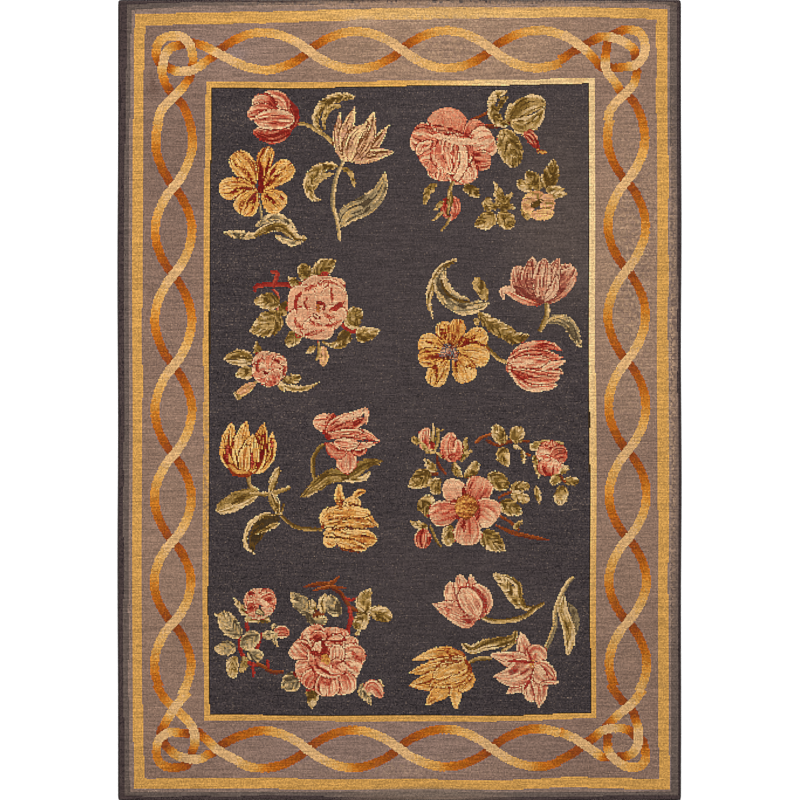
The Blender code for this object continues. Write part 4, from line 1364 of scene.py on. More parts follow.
CORNER_RIBBONS = (
    Ribbon((215, 55, 0, 205, 62, 0.55, 198, 67, 0.8, 190, 71, 1, 180, 72, 0.9, 174, 71, 0.6, 168, 68, 0.15,
        163, 65, 0, 158, 62, 0.1, 155.5, 55, 0.45, 156.5, 46, 0.6, 162, 39, 0.75, 172, 36, 0.8,
        181, 37, 0.95, 188, 43, 1, 191.5, 52, 0.7, 192.5, 60, 0.55, 191.5, 66, 0.2, 190, 72, 0,
        189, 78, 0.15, 185, 84, 0.5, 180, 90, 0.75, 174, 96, 1, 168, 102, 0.95, 160, 112, 0.85,
        156.5, 124, 0.75)),
    Ribbon((190, 125, 0.35, 186, 113, 0.25, 181, 104, 0.1, 174, 96, 0, 169, 91, 0.1, 165, 84, 0.3,
        162.5, 77, 0.5, 161.5, 70, 0.7, 163, 62, 1, 164.5, 55, 0.9, 168, 50, 0.7, 172, 47, 0.55,
        177, 45.5, 0.35, 182, 45, 0.1, 187, 44, 0, 192, 43.5, 0.1, 198, 44.5, 0.35, 205, 47, 0.55,
        211, 50, 0.7, 218, 54, 1, 228, 59, 0.95, 238, 64, 0.85)),
    Ribbon((565, 35, 0.95, 575, 42, 0.95, 584, 49, 1, 590, 54, 0.6, 597, 62, 0.3, 601, 67, 0.05, 605, 68, 0,
        612, 68, 0.1, 620, 68, 0.35, 628, 67, 0.6, 634, 66, 0.9, 640, 62, 1, 645, 54, 1, 645, 42, 0.85,
        641, 34, 0.75, 633, 30, 0.65, 625, 30, 0.35, 618, 33, 0.1, 612, 36, 0, 608, 42, 0.1, 607, 50, 0.2,
        606, 57, 0.45, 606, 63, 0.9, 606, 68, 1, 609, 74, 0.95, 614, 80, 0.8, 618, 86, 0.6, 620, 90, 0.3,
        624, 93, 0, 630, 97, 0.05, 636, 105, 0.15, 641, 115, 0.3, 644, 125, 0.4)),
    Ribbon((560, 60, 0.42, 566, 57, 0.25, 573, 52, 0.08, 582, 48, 0, 589, 43, 0.05, 595, 40, 0.25,
        602, 37, 0.5, 608, 37, 0.7, 613, 38, 0.95, 622, 41, 1, 629, 45, 0.75, 634, 49, 0.5, 636, 54, 0.15,
        636, 58, 0.02, 638, 62, 0, 637, 68, 0.05, 637, 74, 0.3, 636, 80, 0.55, 633, 86, 0.85, 627, 93, 1,
        618, 101, 0.95, 611, 110, 0.85, 608, 120, 0.75)),
    Ribbon((187, 693, 0.75, 180, 700, 0.85, 173, 709, 1, 168, 717, 0.7, 164, 724, 0.4, 161, 730, 0.1,
        160, 735, 0, 165, 745, 0.05, 170, 750, 0.45, 176, 755, 0.7, 185, 758, 0.95, 195, 759, 1,
        202, 758, 0.7, 208, 754, 0.4, 213, 752, 0.1, 217, 748, 0, 221, 745, 0.05, 228, 741, 0.15,
        236, 737, 0.25, 250, 733, 0.3)),
    Ribbon((156, 685, 0.35, 162, 695, 0.35, 168, 703, 0.55, 174, 708, 0.6, 181, 714, 0.65, 187, 720, 0.75,
        192, 727, 0.95, 194, 735, 1, 194, 742, 0.7, 193, 748, 0.4, 191, 753, 0.1, 190, 758, 0,
        186, 765, 0.1, 178, 767, 0.25, 168, 767, 0.4, 160, 763, 0.5, 156, 755, 0.4, 156, 747, 0.6,
        158, 740, 0.95, 163, 735, 1, 170, 732, 0.8, 177, 732, 0.55, 183, 733, 0.2, 190, 733, 0,
        198, 732, 0.05, 203, 737, 0.35, 209, 742, 0.55, 215, 748, 0.9, 221, 752, 1, 230, 757, 0.95,
        240, 762, 0.85)),
    Ribbon((643, 690, 0.6, 637, 698, 0.7, 630, 706, 1, 622, 712, 0.9, 616, 717, 0.65, 611, 722, 0.3,
        607, 727, 0.05, 607, 730, 0, 608, 736, 0.05, 608, 742, 0.2, 608, 748, 0.5, 611, 754, 0.9,
        614, 758, 1, 620, 763, 0.9, 629, 767, 0.7, 638, 767, 0.65, 645, 762, 0.6, 646, 754, 0.45,
        645, 747, 0.25, 643, 741, 0.05, 640, 738, 0, 634, 735, 0.05, 631, 731, 0.15, 625, 729, 0.5,
        618, 728, 0.8, 609, 729, 1, 602, 731, 0.8, 597, 735, 0.45, 591, 740, 0.1, 584, 744, 0,
        578, 750, 0.05, 570, 755, 0.15, 560, 760, 0.3)),
    Ribbon((611, 685, 0.3, 617, 694, 0.15, 624, 702, 0, 634, 713, 0.05, 636, 720, 0.3, 638, 726, 0.7,
        639, 733, 0.95, 639, 740, 1, 637, 748, 0.9, 632, 754, 0.7, 627, 756, 0.35, 621, 757, 0.05,
        615, 758, 0, 610, 757, 0.05, 603, 757, 0.4, 598, 754, 0.75, 591, 749, 0.95, 584, 744, 1,
        576, 739, 0.95, 567, 735, 0.75, 560, 731, 0.4)),
)


@dataclass(frozen=True)
class Wear:
    """A place where the wool is faded, thinned or stained, as a soft oval over all bands or one of them.

    With `patchy` at or under -0.1 it covers every knot evenly, and above that only patches of knots.
    """

    centre: Place
    size: Place
    yarn: Yarn
    strength: float = 0.5
    patchy: float = 0.6
    patch: float = 3.0
    within: str = ""
    solid_core: float = 1.4
    patch_rim: float = 0.25
    patch_contrast: float = 3.0

    def paint(self, chart: Chart, seed: int) -> None:
        """Tints the knots of the oval towards its yarn.

        Args:
            chart: The chart.
            seed: Its own number.
        """
        across = (chart.x - self.centre[0]) / self.size[0]
        away = np.hypot(across, (chart.y - self.centre[1]) / self.size[1])
        share = np.clip(self.solid_core - self.solid_core * away, 0, 1) * self.strength
        patches = drift(chart.x / self.patch, chart.y / self.patch, seed)
        share *= np.clip((patches - self.patchy + self.patch_rim) * self.patch_contrast, 0, 1)
        if self.within:
            share *= chart.band == [band.name for band in FRAME].index(self.within)
        chart.colour[:] = chart.colour * (1 - share[..., None]) + self.yarn.daylight * share[..., None]


border_wear = partial(Wear, within="border ground")
field_wear = partial(Wear, within="field")

WORN_PLACES = (
    border_wear((172, 110), (60, 230), Yarn.GROUND_DARK, 0.75, -1),
    border_wear((172, 560), (60, 200), Yarn.GROUND_TAN, 0.75, -1),
    border_wear((628, 270), (70, 190), Yarn.GROUND_SUNNED, 0.8, -1),
    border_wear((628, 80), (70, 120), Yarn.GROUND_TAN, 0.6, -1),
    border_wear((450, 48), (210, 60), Yarn.GROUND_SUNNED, 0.9, -1),
    border_wear((250, 48), (80, 60), Yarn.GROUND_TAN, 0.7, -1),
    border_wear((555, 750), (60, 50), Yarn.GROUND_DARK, 0.5, -1),
    border_wear((370, 750), (230, 50), Yarn.GROUND_COOL, 0.6, -1),
    border_wear((230, 50), (90, 50), Yarn.GROUND_COOL, 0.5, -1),
    border_wear((628, 560), (70, 190), Yarn.GROUND_TAN, 0.6, -1),
    Wear((445, 22), (120, 12), Yarn.GROUND_WORN, 0.6, 0.55, 2.0),
    Wear((360, 22), (22, 7), Yarn.GROUND_WORN, 0.9, 0.3, 3.0),
    border_wear((450, 50), (160, 40), Yarn.GROUND_WORN, 0.45, 0.6, 1.8),
    border_wear((450, 50), (160, 40), Yarn.GROUND, 0.5, 0.6, 2.2),
    border_wear((236, 54), (16, 8), Yarn.GROUND_LILAC, 0.6, 0.2, 5.0),
    border_wear((152, 86), (9, 16), Yarn.GROUND_SMUDGE, 0.5, 0.3, 4.0),
    border_wear((636, 270), (40, 230), Yarn.GROUND_WORN, 0.55, 0.6, 1.6),
    border_wear((636, 250), (40, 240), Yarn.GROUND_DARK, 0.6, 0.6, 1.9),
    border_wear((400, 766), (150, 14), Yarn.GROUND_WORN, 0.4, 0.6, 2.0),
    border_wear((196, 400), (9, 240), Yarn.GROUND_PALE, 0.4, 0.55, 3.0),
    Wear((592.5, 230), (9, 420), Yarn.GILT_FADED, 0.85, -1, within="inner gold"),
    Wear((530, 82), (130, 12), Yarn.GILT_FADED, 0.8, -1, within="inner gold"),
    Wear((450, 14), (220, 12), Yarn.CREAM, 0.4, -1, within="outer gold"),
    Wear((206, 480), (6, 120), Yarn.GROUND, 0.5, 0.5, 1.6, "inner gold"),
    Wear((440, 4), (260, 7), Yarn.GROUND_SUNNED, 0.75, 0.35, 2.2),
    Wear((674.5, 400), (9, 330), Yarn.GROUND, 0.6, -1, within="grey edge"),
    Wear((672.5, 380), (6, 330), Yarn.GROUND_WORN, 0.8, 0.6, 1.6),
    Wear((425, 796), (100, 9), Yarn.GROUND_TAN, 0.75, 0.1, 2.4),
    Wear((425, 794), (110, 8), Yarn.EDGE_GREY_PALE, 0.7, -1),
    field_wear((450, 250), (230, 260), Yarn.FIELD_PALE, 0.5, -1),
    field_wear((560, 210), (70, 150), Yarn.FIELD_WARM, 0.8, -1),
    field_wear((450, 590), (150, 110), Yarn.FIELD_PALE, 0.4, -1),
    field_wear((580, 275), (14, 40), Yarn.FIELD_WORN, 0.4, 0.4, 3.0),
    field_wear((540, 230), (70, 90), Yarn.FIELD_WORN, 0.35, 0.6, 2.0),
    field_wear((400, 480), (210, 260), Yarn.FIELD_PALE, 0.35, 0.6, 2.2),
)


@dataclass
class Design:
    """The whole pattern of the rug, charted from the outside in."""

    columns: int = KNOT_COLUMNS
    rows: int = KNOT_ROWS
    speck_share: float = 0.012
    speck_strength: float = 0.45
    thin_patch: float = 60.0
    knot_shade: float = 0.1
    row_shade: float = 0.08
    row_swell: float = 14.0
    dye_lot_shade: float = 0.05
    dye_lot: Place = (90.0, 45.0)
    edge_contrast: float = 0.55
    darkest: float = 0.05

    def chart(self) -> Chart:
        """Charts the bands, the wear, the guilloche and the sprays, in that order.

        Returns:
            The chart.
        """
        chart = Chart(self.columns, self.rows)
        Ground(Run.BLACK, 0.4).paint(chart, np.ones_like(chart.x, bool), seed=3)
        for index, band in enumerate(FRAME):
            inside = band.border.inside(chart)
            band.ground.paint(chart, inside, seed=20 + 5 * index)
            chart.band[inside] = index
            LOG.info("charted the %s", band.name)
        for index, worn in enumerate(WORN_PLACES):
            worn.paint(chart, seed=900 + index)
        self.bare_knots(chart)
        heights = np.full_like(chart.x, -1.0)
        ribbons = [ribbon for guilloche in GUILLOCHES for ribbon in guilloche.ribbons()]
        for index, ribbon in enumerate([*ribbons, *CORNER_RIBBONS]):
            ribbon.paint(chart, heights, seed=300 + 3 * index)
        LOG.info("charted %d ribbons", len(ribbons) + len(CORNER_RIBBONS))
        for index, spray in enumerate(SPRAYS):
            spray.paint(chart, seed=2000 + 1000 * index)
            LOG.info("charted the %s", spray.name)
        self.shade_wool(chart)
        return chart

    def bare_knots(self, chart: Chart) -> None:
        """Thins single knots of the field down to the foundation.

        Args:
            chart: The chart.
        """
        field_line = FRAME[-1].border.inside(chart)
        chance = scatter(chart.number_x, chart.number_y, seed=611)
        thicker = drift(chart.x / self.thin_patch, chart.y / self.thin_patch, seed=612)
        bare = field_line & (chance < self.speck_share * (0.4 + 1.6 * thicker))
        kept = 1 - self.speck_strength
        chart.colour[bare] = kept * chart.colour[bare] + self.speck_strength * Yarn.FIELD_BARE.daylight

    def shade_wool(self, chart: Chart) -> None:
        """Varies every knot a little, as hand-dyed wool does, and sets pale knots off from dark neighbours.

        Args:
            chart: The chart.
        """
        shade = 1 + self.knot_shade * chart.grain(WHOLE_SHEET, seed=701)
        rows = drift(chart.x / self.row_swell, chart.number_y, seed=702)
        lots = drift(chart.x / self.dye_lot[0], chart.y / self.dye_lot[1], seed=703)
        shade += self.row_shade * 2 * (rows - 0.5)
        shade += self.dye_lot_shade * (lots - 0.5)
        chart.colour *= shade[..., None]
        wide = np.pad(chart.colour, ((1, 1), (1, 1), (0, 0)), mode="edge")
        tall = wide[:-2] + wide[1:-1] + wide[2:]
        around = (tall[:, :-2] + tall[:, 1:-1] + tall[:, 2:]) / 9
        sharpened = chart.colour + self.edge_contrast * (chart.colour - around)
        chart.colour[:] = np.clip(sharpened, self.darkest, 1)


# The names of what a knotted piece carries, and the numbers of a colour mix's inputs and output
KNOT_MAP = "knots"
YARN_COLOUR = "yarn"
MIX_SHARE, MIX_FIRST, MIX_SECOND, MIX_RESULT = 0, 6, 7, 2


def daylight_to_linear(colour: Grid) -> Grid:
    """Turns displayed colours into the linear ones that light is worked out in.

    Args:
        colour: Displayed red, green and blue, from 0 to 1.

    Returns:
        Linear red, green and blue.
    """
    held = np.clip(colour, 0, 1)
    return np.where(held <= 0.04045, held / 12.92, ((held + 0.055) / 1.055) ** 2.4)


class Number:
    """A number that varies over a surface: a shader socket that answers to arithmetic."""

    def __init__(self, tree: bpy.types.NodeTree, socket: Socket) -> None:
        """Wraps a socket of a tree."""
        self.tree, self.socket = tree, socket

    def combine(self, operation: str, *values: "Number | float") -> "Number":
        """Adds a Math node.

        Args:
            operation: Its operation.
            values: Its inputs, in order.

        Returns:
            Its result.
        """
        node = self.tree.nodes.new("ShaderNodeMath")
        node.operation = operation
        for socket, value in zip(node.inputs, values):
            if isinstance(value, Number):
                self.tree.links.new(value.socket, socket)
            else:
                socket.default_value = value
        return Number(self.tree, node.outputs[0])

    def __add__(self, other: "Number | float") -> "Number":
        """Sum."""
        return self.combine("ADD", self, other)

    def __sub__(self, other: "Number | float") -> "Number":
        """Difference."""
        return self.combine("SUBTRACT", self, other)

    def __rsub__(self, other: float) -> "Number":
        """Difference from a plain number."""
        return self.combine("SUBTRACT", other, self)

    def __mul__(self, other: "Number | float") -> "Number":
        """Product."""
        return self.combine("MULTIPLY", self, other)

    def __pow__(self, other: float) -> "Number":
        """Power."""
        return self.combine("POWER", self, other)

    def __abs__(self) -> "Number":
        """Size without its sign."""
        return self.combine("ABSOLUTE", self)

    __radd__ = __add__
    __rmul__ = __mul__

    def fraction(self) -> "Number":
        """What is left over a whole number."""
        return self.combine("FRACT", self)

    def sine(self) -> "Number":
        """Its sine."""
        return self.combine("SINE", self)

    def held(self, low: float, high: float) -> "Number":
        """Itself between two bounds."""
        return self.combine("MINIMUM", self.combine("MAXIMUM", self, low), high)


class Tree:
    """A node tree in the making."""

    def __init__(self, tree: bpy.types.NodeTree) -> None:
        """Takes up a tree."""
        self.tree = tree

    def add(self, kind: str, links: Links | None = None, **settings: object) -> bpy.types.Node:
        """Adds a node.

        Args:
            kind: Its type.
            links: What its inputs get, by name or number.
            settings: Its properties, which are set first.

        Returns:
            The node.
        """
        node = self.tree.nodes.new(kind)
        for name, value in settings.items():
            setattr(node, name, value)
        self.wire(node, links or {})
        return node

    def wire(self, node: bpy.types.Node, links: Links) -> None:
        """Links a node's inputs, or sets them to plain values.

        Args:
            node: The node.
            links: A Number, another node's socket or a plain value for each input, by name or number.
        """
        for key, value in links.items():
            if isinstance(value, Number):
                self.tree.links.new(value.socket, node.inputs[key])
            elif isinstance(value, Socket):
                self.tree.links.new(value, node.inputs[key])
            else:
                node.inputs[key].default_value = value


class Finish(Tree):
    """A material in the making: its tree, and the ways to add to it."""

    def __init__(self, name: str) -> None:
        """Starts a material with a bare Principled shader.

        Args:
            name: The material's name.
        """
        self.material = bpy.data.materials.new(name)
        self.material.use_nodes = True
        super().__init__(self.material.node_tree)
        self.shader = self.tree.nodes["Principled BSDF"]
        self.place = self.add("ShaderNodeTexCoord").outputs["Object"]

    def noise(self, scale: float, detail: float) -> Number:
        """Noise from 0 to 1.

        Args:
            scale: Swells in a metre.
            detail: How many finer swells are added.

        Returns:
            The noise.
        """
        links = {"Vector": self.place, "Scale": scale, "Detail": detail}
        made = self.add("ShaderNodeTexNoise", links, noise_dimensions="3D")
        return Number(self.tree, made.outputs["Fac"])

    def knot_numbers(self) -> tuple[Number, Number]:
        """The number of the knot at each place of the rug.

        Returns:
            Its number across and along, whose fractions are the place within the knot.
        """
        knots = self.add("ShaderNodeUVMap", uv_map=KNOT_MAP)
        split = self.add("ShaderNodeSeparateXYZ", {"Vector": knots.outputs["UV"]})
        across, along = (Number(self.tree, split.outputs[axis]) for axis in "XY")
        return across * float(KNOT_COLUMNS), along * float(KNOT_ROWS)

    def yarn_colour(self) -> Socket:
        """Each knot's own colour."""
        return self.add("ShaderNodeAttribute", attribute_name=YARN_COLOUR).outputs["Color"]

    def scaled(self, colour: Socket, factor: Number) -> Socket:
        """A colour made lighter or darker.

        Args:
            colour: The colour.
            factor: How much of it is left.

        Returns:
            The new colour.
        """
        links = {"Vector": colour, "Scale": factor}
        return self.add("ShaderNodeVectorMath", links, operation="SCALE").outputs["Vector"]

    def mixed(self, share: Number, first: object, second: object) -> Socket:
        """A colour between two.

        Args:
            share: How much of the second.
            first: The first colour.
            second: The second colour.

        Returns:
            The mix.
        """
        links = {MIX_SHARE: share, MIX_FIRST: first, MIX_SECOND: second}
        return self.add("ShaderNodeMix", links, data_type="RGBA").outputs[MIX_RESULT]

    def relief(self, height: Number, depth: float, strength: float) -> None:
        """Feeds a bump to the shader's normal.

        Args:
            height: The relief, from 0 to 1.
            depth: Its depth in metres.
            strength: How much of it is felt.
        """
        bump = self.add("ShaderNodeBump", {"Height": height, "Distance": depth, "Strength": strength})
        self.wire(self.shader, {"Normal": bump.outputs["Normal"]})

    def surface(self, colour: Socket, roughness: Number | float, gloss: float) -> None:
        """Gives the shader its colour and how it shines.

        Args:
            colour: The colour.
            roughness: From 0, a mirror, to 1, dull.
            gloss: How strong its highlights are.
        """
        self.wire(self.shader, {"Base Color": colour, "Roughness": roughness, "Specular IOR Level": gloss})


@dataclass(frozen=True)
class PileWool:
    """Knotted wool pile: each knot its own yarn colour, a soft rounded tuft with a furrow around it."""

    name: str = "wool_pile"
    daylight_share: float = 0.735
    furrow_shade: float = 0.26
    furrow_wander: float = 0.3
    wander_scale: float = 620.0
    squareness: float = 3.0
    plies: float = 1.5
    fibre_shade: float = 0.42
    fibre_scale: float = 1300.0
    clipped_shade: float = 0.06
    clipped_scale: float = 210.0
    dust: Colour = (0.30, 0.25, 0.20, 1.0)
    dust_share: float = 0.2
    dust_onset: float = 0.56
    dust_scale: float = 34.0
    roughness: float = 0.86
    matting: float = 0.12
    gloss: float = 0.03
    tuft_relief: float = 0.62
    ply_relief: float = 0.1
    fibre_relief: float = 0.2
    clipped_relief: float = 0.08
    highest_relief: float = 1.2
    relief_depth: float = 0.0011
    relief_strength: float = 0.7

    def build(self) -> Material:
        """Builds the wool from the knots' colours and numbers, which it reads from the piece itself.

        Returns:
            The material.
        """
        finish = Finish(self.name)
        column, row = finish.knot_numbers()
        crooked = (finish.noise(self.wander_scale, 1.0) - 0.5) * self.furrow_wander
        across = abs((column + crooked).fraction() * 2.0 - 1.0)
        along = abs((row - crooked).fraction() * 2.0 - 1.0)
        tuft = (1.0 - across**self.squareness) * (1.0 - along**self.squareness)
        ply = ((column + row) * (2 * math.pi * self.plies)).sine() * 0.5 + 0.5
        fibre = finish.noise(self.fibre_scale, 3.0)
        clipped = finish.noise(self.clipped_scale, 2.0)
        lit = 1.0 - self.furrow_shade * (1.0 - tuft)
        lit = lit * (1.0 - self.fibre_shade * 0.5 + self.fibre_shade * fibre)
        lit = lit * (1.0 - self.clipped_shade / 2 + self.clipped_shade * clipped)
        wool = finish.scaled(finish.yarn_colour(), lit * self.daylight_share)
        dusty = (finish.noise(self.dust_scale, 4.0) - self.dust_onset).held(0.0, 1.0) * self.dust_share
        colour = finish.mixed(dusty, wool, self.dust)
        finish.surface(colour, self.roughness + self.matting * fibre, self.gloss)
        height = tuft * self.tuft_relief + ply * self.ply_relief
        height = height + fibre * self.fibre_relief + clipped * self.clipped_relief
        finish.relief(height.held(0.0, self.highest_relief), self.relief_depth, self.relief_strength)
        return finish.material


@dataclass(frozen=True)
class FoundationWeave:
    """The back of the cloth: the knots' loops in rows between the weft, in the pattern's dulled colours."""

    name: str = "wool_foundation"
    linen: Colour = (0.42, 0.34, 0.24, 1.0)
    grime: Colour = (0.20, 0.17, 0.14, 1.0)
    weft_sharpness: float = 6.0
    loop_squareness: float = 4.0
    weft_share: float = 0.75
    fibre_scale: float = 1100.0
    grime_share: float = 0.2
    grime_spread: float = 0.2
    shade: float = 0.78
    shade_spread: float = 0.3
    roughness: float = 0.88
    matting: float = 0.1
    gloss: float = 0.25
    loop_relief: float = 0.75
    fibre_relief: float = 0.25
    relief_depth: float = 0.0009
    relief_strength: float = 0.5

    def build(self) -> Material:
        """Builds the finish.

        Returns:
            The material.
        """
        finish = Finish(self.name)
        across, along = (abs(number.fraction() * 2.0 - 1.0) for number in finish.knot_numbers())
        weft = along**self.weft_sharpness
        loop = (1.0 - across**self.loop_squareness) * (1.0 - weft)
        fibre = finish.noise(self.fibre_scale, 3.0)
        grimy = self.grime_share + self.grime_spread * fibre
        dulled = finish.mixed(grimy, finish.yarn_colour(), self.grime)
        shaded = finish.scaled(dulled, self.shade + self.shade_spread * fibre)
        colour = finish.mixed(weft * self.weft_share, shaded, self.linen)
        finish.surface(colour, self.roughness + self.matting * fibre, self.gloss)
        height = loop * self.loop_relief + fibre * self.fibre_relief
        finish.relief(height, self.relief_depth, self.relief_strength)
        return finish.material


@dataclass(frozen=True)
class EdgeYarn:
    """The dark yarn that is whipped over the edge, twisted and a little felted."""

    name: str = "wool_edge"
    dark: Colour = (0.030, 0.023, 0.024, 1.0)
    worn: Colour = (0.115, 0.098, 0.088, 1.0)
    twist_scale: float = 520.0
    fibre_scale: float = 1900.0
    lot_scale: float = 7.0
    wear: float = 0.22
    lot_wear: float = 1.6
    twist_wear: float = 0.9
    shade: float = 0.8
    shade_spread: float = 0.4
    roughness: float = 0.84
    matting: float = 0.14
    gloss: float = 0.3
    sheen: float = 0.1
    twist_relief: float = 0.5
    fibre_relief: float = 0.5
    relief_depth: float = 0.0006
    relief_strength: float = 0.6

    def build(self) -> Material:
        """Builds the finish.

        Returns:
            The material.
        """
        finish = Finish(self.name)
        twist = finish.noise(self.twist_scale, 2.0)
        fibre = finish.noise(self.fibre_scale, 3.0)
        lots = finish.noise(self.lot_scale, 3.0)
        rubbed = (lots - 0.5) * self.lot_wear + (twist - 0.5) * self.twist_wear + self.wear
        wool = finish.mixed(rubbed.held(0.0, 1.0), self.dark, self.worn)
        colour = finish.scaled(wool, self.shade + self.shade_spread * fibre)
        finish.surface(colour, self.roughness + self.matting * fibre, self.gloss)
        finish.wire(finish.shader, {"Sheen Weight": self.sheen})
        height = twist * self.twist_relief + fibre * self.fibre_relief
        finish.relief(height, self.relief_depth, self.relief_strength)
        return finish.material


@dataclass(frozen=True)
class StudioFloor:
    """Matt white floor paper, with the faintest mottling."""

    name: str = "floor_paper"
    white: Colour = (0.93, 0.93, 0.93, 1.0)
    shaded: Colour = (0.90, 0.90, 0.90, 1.0)
    mottle_scale: float = 3.0
    mottle_share: float = 0.25
    roughness: float = 0.9
    gloss: float = 0.2

    def build(self) -> Material:
        """Builds the finish.

        Returns:
            The material.
        """
        finish = Finish(self.name)
        mottle = finish.noise(self.mottle_scale, 3.0)
        colour = finish.mixed(mottle * self.mottle_share, self.white, self.shaded)
        finish.surface(colour, self.roughness, self.gloss)
        return finish.material


def add_to_scene(name: str, data: bpy.types.ID) -> Piece:
    """Puts a mesh, lamp or camera in the scene.

    Args:
        name: The object's name.
        data: What it shows.

    Returns:
        The object.
    """
    added = bpy.data.objects.new(name, data)
    bpy.context.scene.collection.objects.link(added)
    return added


@dataclass(frozen=True)
class SideWander:
    """How one side of the cloth wanders from a straight line, as the source has it."""

    bow: float
    ripples: float
    phase: float
    depth: float = 0.0011

    def stands_out(self, share: Grid) -> Grid:
        """How far the side stands outwards at a share of its length, anticlockwise.

        Args:
            share: From 0 to 1.

        Returns:
            Metres.
        """
        ripple = np.sin(2 * np.pi * self.ripples * share + self.phase)
        return np.sin(np.pi * share) * (self.bow + self.depth * ripple)


@dataclass(frozen=True)
class ClothOutline:
    """The cloth's outline: a rectangle with rounded corners, whose sides wander by a millimetre or two."""

    width: float = RUG_WIDTH
    length: float = RUG_LENGTH
    corner: float = 0.005
    right: SideWander = SideWander(0.0012, 3.0, 0.4)
    back: SideWander = SideWander(0.0016, 2.0, 1.9)
    left: SideWander = SideWander(0.0015, 2.5, 2.7)
    front: SideWander = SideWander(0.0008, 3.0, 0.9)

    def warp(self, across: Grid, along: Grid, inset: float) -> tuple[Grid, Grid]:
        """Puts places of a plain rectangle where they are in the cloth.

        Args:
            across: From -1, the left side, to 1, the right.
            along: From -1, the front side, to 1, the back.
            inset: How far inside the cloth's full outline the rectangle's rim is.

        Returns:
            The places' x and y in metres.
        """
        half_x, half_y = self.width / 2 - inset, self.length / 2 - inset
        share_x, share_y = (across + 1) / 2, (along + 1) / 2
        right, left = self.right.stands_out(share_y), self.left.stands_out(1 - share_y)
        back, front = self.back.stands_out(1 - share_x), self.front.stands_out(share_x)
        x = across * half_x + share_x * right - (1 - share_x) * left
        y = along * half_y + share_y * back - (1 - share_y) * front
        x, y = self.rounded(x, y, half_x, half_y)
        return self.fitted(x, half_x, right, left), self.fitted(y, half_y, back, front)

    def rounded(self, x: Grid, y: Grid, half_x: float, half_y: float) -> tuple[Grid, Grid]:
        """Draws the places in a corner into its rounding.

        Args:
            x: Places across.
            y: Places along.
            half_x: Half the width.
            half_y: Half the length.

        Returns:
            The places, with those in the corners moved.
        """
        past_x = np.clip((np.abs(x) - half_x + self.corner) / self.corner, 0, 1)
        past_y = np.clip((np.abs(y) - half_y + self.corner) / self.corner, 0, 1)
        in_corner = (past_x > 0) & (past_y > 0)
        round_x = self.corner * (past_x * np.sqrt(1 - past_y**2 / 2) - past_x)
        round_y = self.corner * (past_y * np.sqrt(1 - past_x**2 / 2) - past_y)
        moved_x = np.where(in_corner, np.sign(x) * round_x, 0)
        moved_y = np.where(in_corner, np.sign(y) * round_y, 0)
        return x + moved_x, y + moved_y

    @staticmethod
    def fitted(values: Grid, half: float, high: Grid, low: Grid) -> Grid:
        """Centres and scales one direction a hair, so that the farthest places are at the full size.

        Args:
            values: The places in that direction.
            half: Half the size they should reach.
            high: How far the far side stands out.
            low: How far the near side stands out.

        Returns:
            The places.
        """
        top, bottom = half + high.max(), -half - low.max()
        return (values - (top + bottom) / 2) * (2 * half / (top - bottom))

    def loop(self, inset: float, step: float) -> list[Place]:
        """The closed outline, anticlockwise from the front right corner.

        Args:
            inset: How far inside the cloth's full outline.
            step: Roughly how far apart its places are.

        Returns:
            The places.
        """
        up = np.linspace(-1, 1, round(self.length / step), endpoint=False)
        side = np.linspace(-1, 1, round(self.width / step), endpoint=False)
        across = np.concatenate([np.ones_like(up), -side, -np.ones_like(up), side])
        along = np.concatenate([up, np.ones_like(side), -up, -np.ones_like(side)])
        x, y = self.warp(across, along, inset)
        return list(zip(x.tolist(), y.tolist()))


